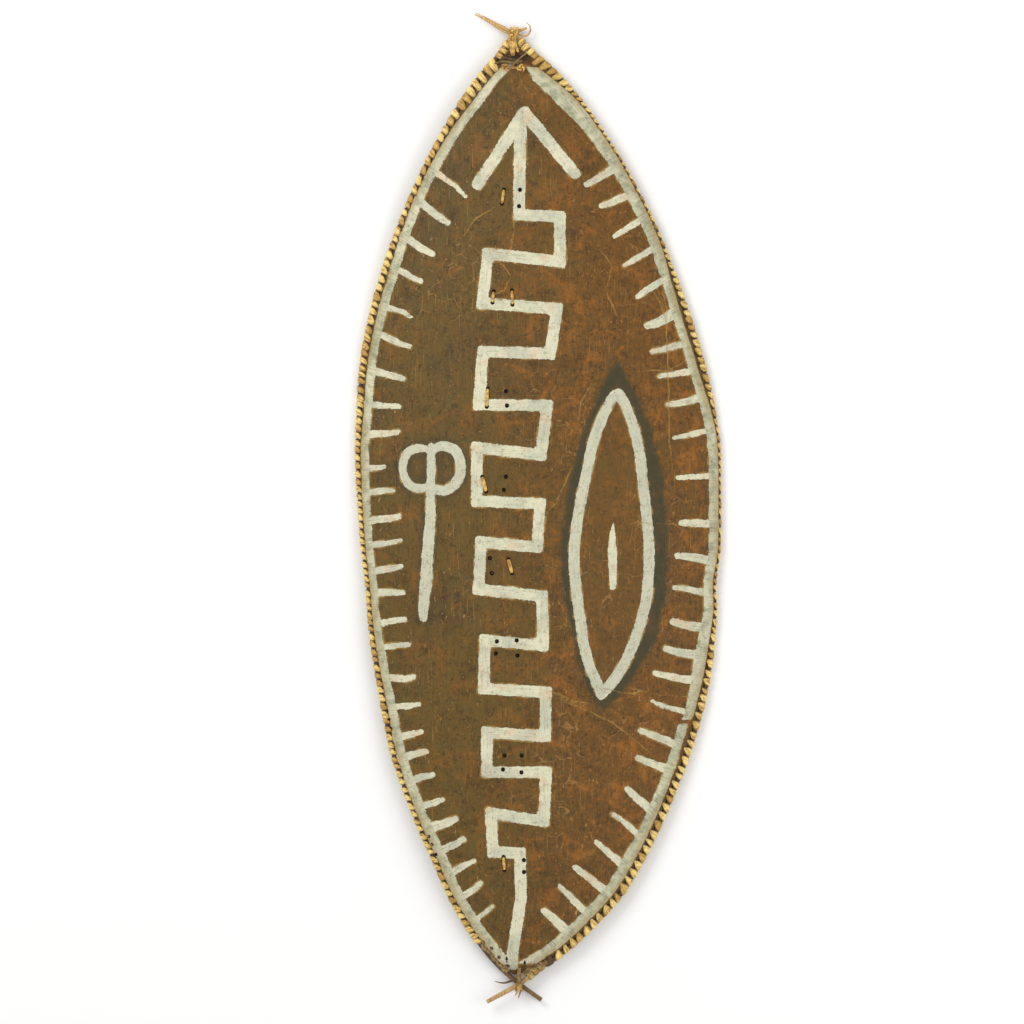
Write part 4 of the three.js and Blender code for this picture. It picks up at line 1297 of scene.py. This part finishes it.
def hideFinish():
    look = hideLook
    f = Finish("painted_hide")
    parts = f.node("ShaderNodeSeparateXYZ", {}, {"Vector": f.place}, "X")
    large, patch, mottle = f.noise(6.5, 3), f.noise(24, 5, 0.62), f.noise(85, 5, 0.62)
    fine, grain = f.noise(380, 4, 0.65), f.noise(1500, 3, 0.6)

    # ground: olive brown on the left, redder on the right, with orange and dark mottles
    toRight = f.rise(parts + (large - 0.5) * 0.30 + (patch - 0.5) * 0.16, -0.13, 0.13)
    redder = 0.3 + 0.7 * toRight
    smoked = f.rise(large + (patch - 0.5) * 0.4, 0.44, 0.62) * (0.65 - 0.45 * toRight)
    tanned = f.rise(f.noise(31, 6, 0.68, bend=0.6), 0.50, 0.66) * (0.32 + 0.42 * toRight)
    fibres = f.noise(1, 4, 0.7, f.stretched((420, 60, 60), 0.05))
    crumbs = f.noise(170, 6, 0.74, bend=0.4)
    specks = f.rise(fine * 0.6 + mottle * 0.4, 0.58, 0.66)
    flecks = f.rise(f.noise(1, 3, 0.6, f.stretched((340, 120, 60), -0.1)), 0.62, 0.70)
    ground = f.over(
        f.mix(toRight * 0.9, look["olive"], look["brown"]),
        (smoked, look["smoky"]),
        (tanned, look["orange"]),
        (f.rise(mottle * 0.7 + patch * 0.3, 0.50, 0.64) * 0.6, look["dark"]),
        (f.rise(fibres, 0.53, 0.68) * 0.30 * redder, look["orange"]),
        (f.fall(fibres, 0.34, 0.47) * 0.4, look["dark"]),
        (f.rise(crumbs, 0.52, 0.66) * 0.6 * redder, look["orange"]),
        (f.fall(crumbs, 0.35, 0.47) * 0.62, look["dark"]),
        (f.rise(f.noise(44, 3), 0.54, 0.66) * 0.35 * (1 - 0.7 * toRight), look["leaf"]),
        (specks * 0.4, look["rubbed"]),
        (flecks * f.rise(f.noise(26, 3), 0.48, 0.60) * 0.6, look["rubbed"]),
        (f.rise(f.attribute("inLens") + (mottle - 0.5) * 8, -2, 5) * 0.3, look["olive"]),
    )

    # scratches in three directions, only where the hide is rubbed
    rubbedHere = f.rise(f.noise(15, 3), 0.46, 0.6)
    scratches = None
    ways = (((900, 20, 60), 0.1, 0.66), ((1000, 30, 60), 0.9, 0.69), ((1100, 34, 60), -0.6, 0.69))
    for scale, turn, level in ways:
        lines = f.rise(f.noise(1, 1.5, 0.5, f.stretched(scale, turn)), level, level + 0.05)
        scratches = lines if scratches is None else f.sum("MAXIMUM", scratches, lines)
    scratches = scratches * rubbedHere

    # fine crackle, scuffs, and the long creases
    bent = f.node("ShaderNodeVectorMath", {"operation": "MULTIPLY_ADD"},
                  {0: f.node("ShaderNodeTexNoise", {}, {"Vector": f.place, "Scale": 60.0}, "Color"),
                   1: (0.012, 0.012, 0.012), 2: f.place})
    cracks = {"Vector": bent, "Scale": 34.0}
    cells = f.node("ShaderNodeTexVoronoi", {"feature": "DISTANCE_TO_EDGE"}, cracks, "Distance")
    crackle = f.fall(cells, 0.0, 0.026) * f.rise(f.noise(9, 2), 0.55, 0.66) * f.rise(mottle, 0.42, 0.56)
    scuffs = f.rise(f.noise(95, 6, 0.8, bend=0.8), 0.60, 0.70) * f.rise(f.noise(17, 2), 0.50, 0.62)
    wander = (mottle - 0.5) * 5 + (fine - 0.5) * 1.6
    crease = f.fall(abs(f.attribute("crease") + wander), 0.3, 1.45) * f.attribute("creaseShows")
    crease = crease * f.rise(patch * 0.6 + fine * 0.4, 0.40, 0.54)

    # dark wash round the lens and, fainter, round the mark
    softly = (patch - 0.5) * 10 + (mottle - 0.5) * 7 + (crumbs - 0.5) * 4
    wash = f.fall(f.attribute("lensOut") + softly, -6, 3)
    ground = f.over(
        ground,
        (scratches * 0.4, look["rubbed"]),
        (crackle * 0.45, look["rubbed"]),
        (scuffs * 0.5, look["rubbed"]),
        (wash * (0.72 + 0.5 * (mottle - 0.3)), look["wash"]),
        (f.fall(f.attribute("markOut") + softly, -4, 5) * 0.42, look["wash"]),
        (crease * 0.8, look["ochre"]),
    )

    # brush strokes: ragged edges, bristle streaks along them, worn and chipped in places
    alongStroke = {"X": f.attribute("along") * 0.03, "Y": f.attribute("across") * 0.8}
    bristles = f.noise(1.0, 3, 0.65, f.node("ShaderNodeCombineXYZ", {}, alongStroke))
    ragged = (mottle - 0.5) * 4.0 + (fine - 0.5) * 2.8 + (f.noise(900, 3, 0.7) - 0.5) * 2.4
    ragged = ragged + (bristles - 0.5) * 1.5
    stroke = f.attribute("stroke") + ragged
    band = f.attribute("band") + ragged * 1.2
    strokeMask = f.fall(stroke, -0.3, 0.25)
    bandMask = f.fall(band, -0.35, 0.35)
    painted = f.sum("MAXIMUM", strokeMask, bandMask)
    worn = f.rise(bristles * 0.5 + fine * 0.5 + (patch - 0.5) * 0.3, 0.55, 0.68)
    chips = f.rise(f.noise(560, 3, 0.6), 0.615, 0.67) * f.rise(mottle, 0.45, 0.57)
    rim = f.fall(f.sum("MINIMUM", stroke, band), 0.7, 2.6) * f.rise(f.noise(48, 3), 0.49, 0.60)
    ground = f.mix(rim * 0.8, ground, look["ochre"])
    pinker = f.noise(38, 4, 0.6)
    byLens = f.fall(abs(f.attribute("inLens")), 8, 13)
    byMark = f.fall(f.attribute("markOut"), -4, 1)
    cream = f.over(
        look["cream"],
        (f.rise(patch, 0.42, 0.62), look["creamGrey"]),
        (f.rise(pinker * 0.8 + crumbs * 0.2, 0.52, 0.64) * 0.7, look["creamPink"]),
        (f.sum("MAXIMUM", byLens, byMark) * 0.75, look["creamGrey"]),
    )
    colour = f.over(
        look["border"],
        (f.rise(mottle * 0.6 + bristles * 0.4, 0.44, 0.62), look["borderDull"]),
        (f.rise(patch, 0.5, 0.62) * 0.7, look["cream"]),
        (strokeMask * (1 - 0.8 * bandMask), cream),
        (worn * 0.4, look["ochre"]),
        (f.rise(bristles + (crumbs - 0.5) * 0.6, 0.50, 0.68) * 0.45, look["borderDull"]),
        (f.rise(crumbs, 0.53, 0.65) * 0.45, look["borderDull"]),
        (chips * 0.7, look["dark"]),
        (crease * 0.45, look["ochre"]),
    )
    cover = painted * (0.98 - 0.26 * worn)

    # dirt at the tips, dirt and painted shade in a strip along the lacing, painted shade in the holes, and
    # the plain raw back
    byLacing = f.attribute("pastLacing")
    stain = f.fall(byLacing + (patch - 0.5) * 26 + (mottle - 0.5) * 9, -1, 8) * bandMask
    tipDirt = f.attribute("tipDirt")
    # dirt and painted shade: a dark strip along the lacing's inner edge
    soilAndShade = f.fall(byLacing + (mottle - 0.5) * 3.5 + (fine - 0.5) * 1.5, -1.2, 0.6)
    # painted shade on the walls and rims of the awl holes
    holeShade = f.fall(f.attribute("fromHoles"), 0.3, 1.2)
    face = f.over(
        ground,
        (cover, colour),
        (stain * 0.55, look["stain"]),
        (tipDirt * f.rise(mottle + tipDirt * 0.5, 0.5, 0.85), look["soilAndShade"]),
        (soilAndShade * 0.9, f.mix(f.rise(crumbs, 0.45, 0.6), look["edge"], look["dark"])),
        (holeShade * 0.94, look["soilAndShade"]),
    )
    back = f.over(
        look["back"],
        (f.rise(patch * 0.6 + mottle * 0.4, 0.38, 0.66), look["backDark"]),
        (scratches * 0.4, look["rubbed"]),
        (f.rise(fibres, 0.5, 0.7) * 0.3, look["rubbed"]),
    )
    f.feed(
        Base_Color=f.mix(f.rise(f.attribute("front"), 0.35, 0.6), back, face),
        Roughness=0.58 + 0.2 * painted + 0.16 * (mottle - 0.5),
        IOR=1.45,
        Specular_IOR_Level=0.22,
    )

    # relief: the grain of the hide, and the low thickness of the paint
    relief = 0.5 * mottle + 0.3 * crumbs + 0.3 * fine + 0.12 * grain
    relief = relief + painted * (0.4 - 0.2 * worn + 0.35 * bristles)
    f.bump(relief - 0.5 * crease - 0.2 * scratches - 0.25 * crackle, 0.0010, 0.8)
    return f.material


lacingLook = {
    "gold": (0.56, 0.325, 0.052),
    "pale": (0.91, 0.68, 0.22),
    "brown": (0.24, 0.112, 0.018),
    "soilAndShade": (0.075, 0.036, 0.010),
}


def lacingFinish():
    # streaks run along the strip: noise on its own across and along values, shifted for every turn
    look = lacingLook
    f = Finish("rawhide_lacing")
    fine, mottle, patch = f.noise(480, 4, 0.65), f.noise(150, 4, 0.6), f.noise(60, 3)
    tone, outer, old = f.attribute("tone"), f.attribute("outer"), f.attribute("old")
    across = f.attribute("aside")
    aside = abs(across)
    alongStrip = {"X": across * 2.4, "Y": f.attribute("way") * 0.35, "Z": tone * 37}
    streaks = f.noise(1.0, 4, 0.7, f.node("ShaderNodeCombineXYZ", {}, alongStrip))
    paler = tone * 0.3 + mottle * 0.4 + streaks * 0.7 + patch * 0.25
    colour = f.over(
        look["gold"],
        (f.rise(paler, 0.68, 0.94), look["pale"]),
        (f.fall(tone + (mottle - 0.5) * 1.2, 0.05, 0.45) * 0.3, look["brown"]),
        (f.fall(streaks, 0.36, 0.53) * 0.75, look["brown"]),
        (f.rise(fine * 0.6 + mottle * 0.4, 0.53, 0.63) * 0.4, look["brown"]),
        # painted shade: brown where each turn narrows into its holes, and brown to near black at the sides of
        # each turn
        (f.fall(outer + (mottle - 0.5) * 0.4, 0.28, 0.72) * 0.35, look["brown"]),
        (f.rise(aside + (streaks - 0.5) * 0.7, 0.55, 0.90) * 0.6, look["brown"]),
        (f.rise(aside + (fine - 0.5) * 0.5, 0.84, 1.02) * 0.8, look["soilAndShade"]),
        # old turns dark with dirt, and the awl-hole plugs dark as painted shade
        (old * f.rise(fine * 0.4 + mottle * 0.4 + old * 0.35, 0.50, 0.68), look["soilAndShade"]),
    )
    f.feed(Base_Color=colour, Roughness=0.42 + 0.3 * (mottle - 0.3), IOR=1.5, Specular_IOR_Level=0.45)
    f.bump(0.5 * mottle + 0.4 * fine + 0.8 * streaks, 0.0012, 0.9)
    return f.material


withyLook = {"light": (0.64, 0.42, 0.17), "dark": (0.36, 0.19, 0.06), "soilAndShade": (0.072, 0.037, 0.013)}
staveLook = {"light": (0.27, 0.15, 0.06), "dark": (0.13, 0.066, 0.024), "soilAndShade": (0.05, 0.026, 0.011)}


def woodFinish(name, look, under=None):
    # grain drawn out along Y; a rod under the lacing is dark with dirt and painted shade
    f = Finish(name)
    grain = f.noise(1.0, 4, 0.6, f.stretched((900, 26, 900)))
    knots = f.noise(38, 3)
    colour = f.mix(f.rise(grain, 0.38, 0.64), look["light"], look["dark"])
    colour = f.mix(f.rise(knots, 0.56, 0.7) * 0.5, colour, look["soilAndShade"])
    if under:
        # dirt and painted shade where the lacing covers the rod
        colour = f.mix(f.attribute(under), look["soilAndShade"], colour)
    f.feed(Base_Color=colour, Roughness=0.5 + 0.3 * grain)
    f.bump(grain + 0.4 * knots, 0.0006, 0.6)
    return f.material


thongLook = {
    "gold": (0.70, 0.44, 0.105),
    "brown": (0.35, 0.175, 0.038),
    "fleck": (0.12, 0.058, 0.018),
    "soilAndShade": (0.022, 0.011, 0.005),
}


def thongFinish():
    look = thongLook
    f = Finish("thong")
    mottle, fine, dirtAndHoleShade = f.noise(170, 4), f.noise(700, 3), f.attribute("dirtAndHoleShade")
    colour = f.over(
        look["gold"],
        (f.rise(mottle, 0.40, 0.64), look["brown"]),
        (f.rise(fine, 0.55, 0.68) * 0.5, look["fleck"]),
        # dirt, and painted shade where the thong lies inside a hole
        (dirtAndHoleShade * f.rise(mottle * 0.5 + dirtAndHoleShade * 0.8, 0.35, 0.75), look["soilAndShade"]),
    )
    f.feed(Base_Color=colour, Roughness=0.48 + 0.25 * mottle, Specular_IOR_Level=0.4)
    f.bump(0.6 * mottle + 0.4 * fine, 0.0008, 0.7)
    return f.material


# Making the pieces
hideSkin = hideFinish()
rawhide = lacingFinish()
thongSkin = thongFinish()
peeledRod = woodFinish("peeled_withy", withyLook, "bare")
staveWood = woodFinish("whittled_stave", staveLook)
print("materials made")

addPiece("painted_hide", hideMesh(), hideSkin, ["hide"], 38)
print("hide made")


def rodTurns(side, tails, end, stopShort, bulge, old):
    # the turns between the lacing's end and the crossing, at one tip
    path, radius, before, after = withyPath(side, tails)
    part = path[-after - 1:] if end == "top" else path[:before + 1][::-1]
    toCross = np.linalg.norm(np.diff(part[:withy["tailSteps"] + 1], axis=0), axis=1).sum()
    return turnsOnRod(part, withy["radius"], -1, toCross - stopShort, -side["sign"], bulge, old)


remnant = {"across": 9.5, "deep": 4.4, "out": -1.2, "up": 0.6, "stations": 1.1, "tone": 0.75, "old": 0.74}


def crust(side, fromY, toY):
    # what is left of the lacing where it has come off: a low ragged seam along the hide's edge
    rim = side["rim"]
    s = np.arange(*np.interp([fromY, toY], rim["y"], rim["s"]), remnant["stations"])
    uneven = [throughPoints(rng.standard_normal((len(s) // 3 + 3, 1)), 3)[:len(s), 0] for k in range(4)]
    out = remnant["out"] + 1.0 * uneven[0].clip(-1.5, 1.5)
    path = onRim(side, s, out, remnant["up"] + 0.5 * uneven[1].clip(-1.5, 1.5))
    across = remnant["across"] + 2.4 * uneven[2].clip(-1.6, 1.6)
    deep = remnant["deep"] + 0.6 * uneven[3].clip(-1.5, 1.5)
    return sweep(path, across, deep, (0, 0, 1), 8), remnant["tone"], remnant["old"]


lacingEnd = half - lacing["endInset"]
leftStart = lacing["goneAtBottomLeft"] - lacingEnd
leftTurns = rodTurns(leftSide, leftTails, "top", 9, 3.2, 0.1)
leftTurns.append(crust(leftSide, -599, leftStart + 3))
rightTurns = rodTurns(rightSide, rightTails, "top", 9, 3.2, 0)
rightTurns += rodTurns(rightSide, rightTails, "bottom", 11, 0.8, 0.62)
rightTurns.append(crust(rightSide, -601, -584))
leftStrip = lacingStrip("left_strip", leftSide, leftStart, lacingEnd, 0, leftTurns)
rightStrip = lacingStrip("right_strip", rightSide, -lacingEnd, lacingEnd, 1, rightTurns)
addPiece("left_rawhide_strip", leftStrip, rawhide, ["left_lacing"], 50)
addPiece("right_rawhide_strip", rightStrip, rawhide, ["right_lacing"], 50)
print("lacing made")

topCross, bottomCross = crossingPoint("top", 0), crossingPoint("bottom", 0)
curl = topCross + np.array([[4, 2, 2], [16, -2, 1], [22, 3, 0], [22, 11, 1], [17, 16, 2]])
lowSplinter = bottomCross + np.array([[-6, 5, -2], [-20, 1, -3], [-32, 3, -3]])
shortSplinter = topCross + np.array([[4, 0, 5], [-14, 5, 5], [-30, 15, 3], [-41, 22, 1]])
longSplinter = topCross + np.array([[6, -1, 5], [-10, 7, 6], [-26, 17, 4], [-49, 29, 2]])
leftSplinters = [rod(curl, (1.3, 1.2, 1.0, 0.4)), rod(lowSplinter, (1.7, 1.2, 0.4))]
rightSplinters = [
    rod(shortSplinter, (2.0, 1.6, 1.1, 0.5), (1.4, 0.6)),
    rod(longSplinter, (1.4, 1.3, 0.9, 0.4), (1.2, 0.5)),
]
leftRod = withyRod("left_rod", leftSide, leftTails, leftSplinters)
rightRod = withyRod("right_rod", rightSide, rightTails, rightSplinters)
addPiece("left_withy_rod", leftRod, peeledRod, ["left_withy"], 40)
addPiece("right_withy_rod", rightRod, peeledRod, ["right_withy"], 40)
addPiece("back_stave", staveStick(), staveWood, ["handle_stave"], 40)
print("withies and stave made")

for k, row in enumerate(tieHoles, start=1):
    addPiece(f"thong_tie_{k}", tieMesh(k, row), thongSkin, [f"stave_tie_{k}"])
addPiece("thong_end_top", topEndTie(), thongSkin, ["stave_end_tie_top"])
addPiece("thong_end_bottom", bottomEndTie(), thongSkin, ["stave_end_tie_bottom"])
addPiece("tip_binding_top", topBinding(), thongSkin, ["tip_thong_top"])
addPiece("tip_binding_bottom", bottomBinding(), thongSkin, ["tip_thong_bottom"])
print("thongs made")

# Floor, light and camera
studio = {
    "floor": 8,
    "floorColour": (0.88, 0.88, 0.87),
    "camera": 9.0,
    "sensor": 36,
    "level": 0.04,
    "farthest": 60,
    "sky": 0.75,
    "lights": {
        "key": {"place": (-1.9, 1.9, 2.6), "power": 62, "size": 1.8},
        "fill": {"place": (2.3, -0.6, 2.4), "power": 30, "size": 2.4},
    },
}


def floorPlate():
    size = studio["floor"] / 2
    mesh = bpy.data.meshes.new("floor")
    corners = [(-size, -size, 0), (size, -size, 0), (size, size, 0), (-size, size, 0)]
    mesh.from_pydata(corners, [], [(0, 1, 2, 3)])
    floor = bpy.data.objects.new("floor", mesh)
    bpy.context.scene.collection.objects.link(floor)
    f = Finish("pale_floor")
    f.feed(Base_Color=studio["floorColour"], Roughness=0.85)
    mesh.materials.append(f.material)


def softLight(name, place, power, size):
    light = bpy.data.lights.new(name, "AREA")
    light.energy, light.size = power, size
    lamp = bpy.data.objects.new(name, light)
    lamp.location = place
    lamp.rotation_euler = (-lamp.location).to_track_quat("-Z", "Y").to_euler()
    bpy.context.scene.collection.objects.link(lamp)


floorPlate()
for lampName, lamp in studio["lights"].items():
    softLight(lampName, **lamp)
world = bpy.data.worlds.new("studio")
world.use_nodes = True
world.node_tree.nodes["Background"].inputs["Color"].default_value = (1, 1, 1, 1)
world.node_tree.nodes["Background"].inputs["Strength"].default_value = studio["sky"]
bpy.context.scene.world = world
bpy.context.scene.view_settings.view_transform = "Standard"

lens = bpy.data.cameras.new("camera")
lens.sensor_width = studio["sensor"]
covered = photo["pixel"] * photo["pixels"] * mm
lens.lens = studio["sensor"] * (studio["camera"] - studio["level"]) / covered
lens.clip_end = studio["farthest"]
camera = bpy.data.objects.new("camera", lens)
centre = toPlan((photo["middle"], photo["middle"]))[0] + shift[:2]
camera.location = (centre[0] * mm, centre[1] * mm, studio["camera"])
bpy.context.scene.collection.objects.link(camera)
bpy.context.scene.camera = camera
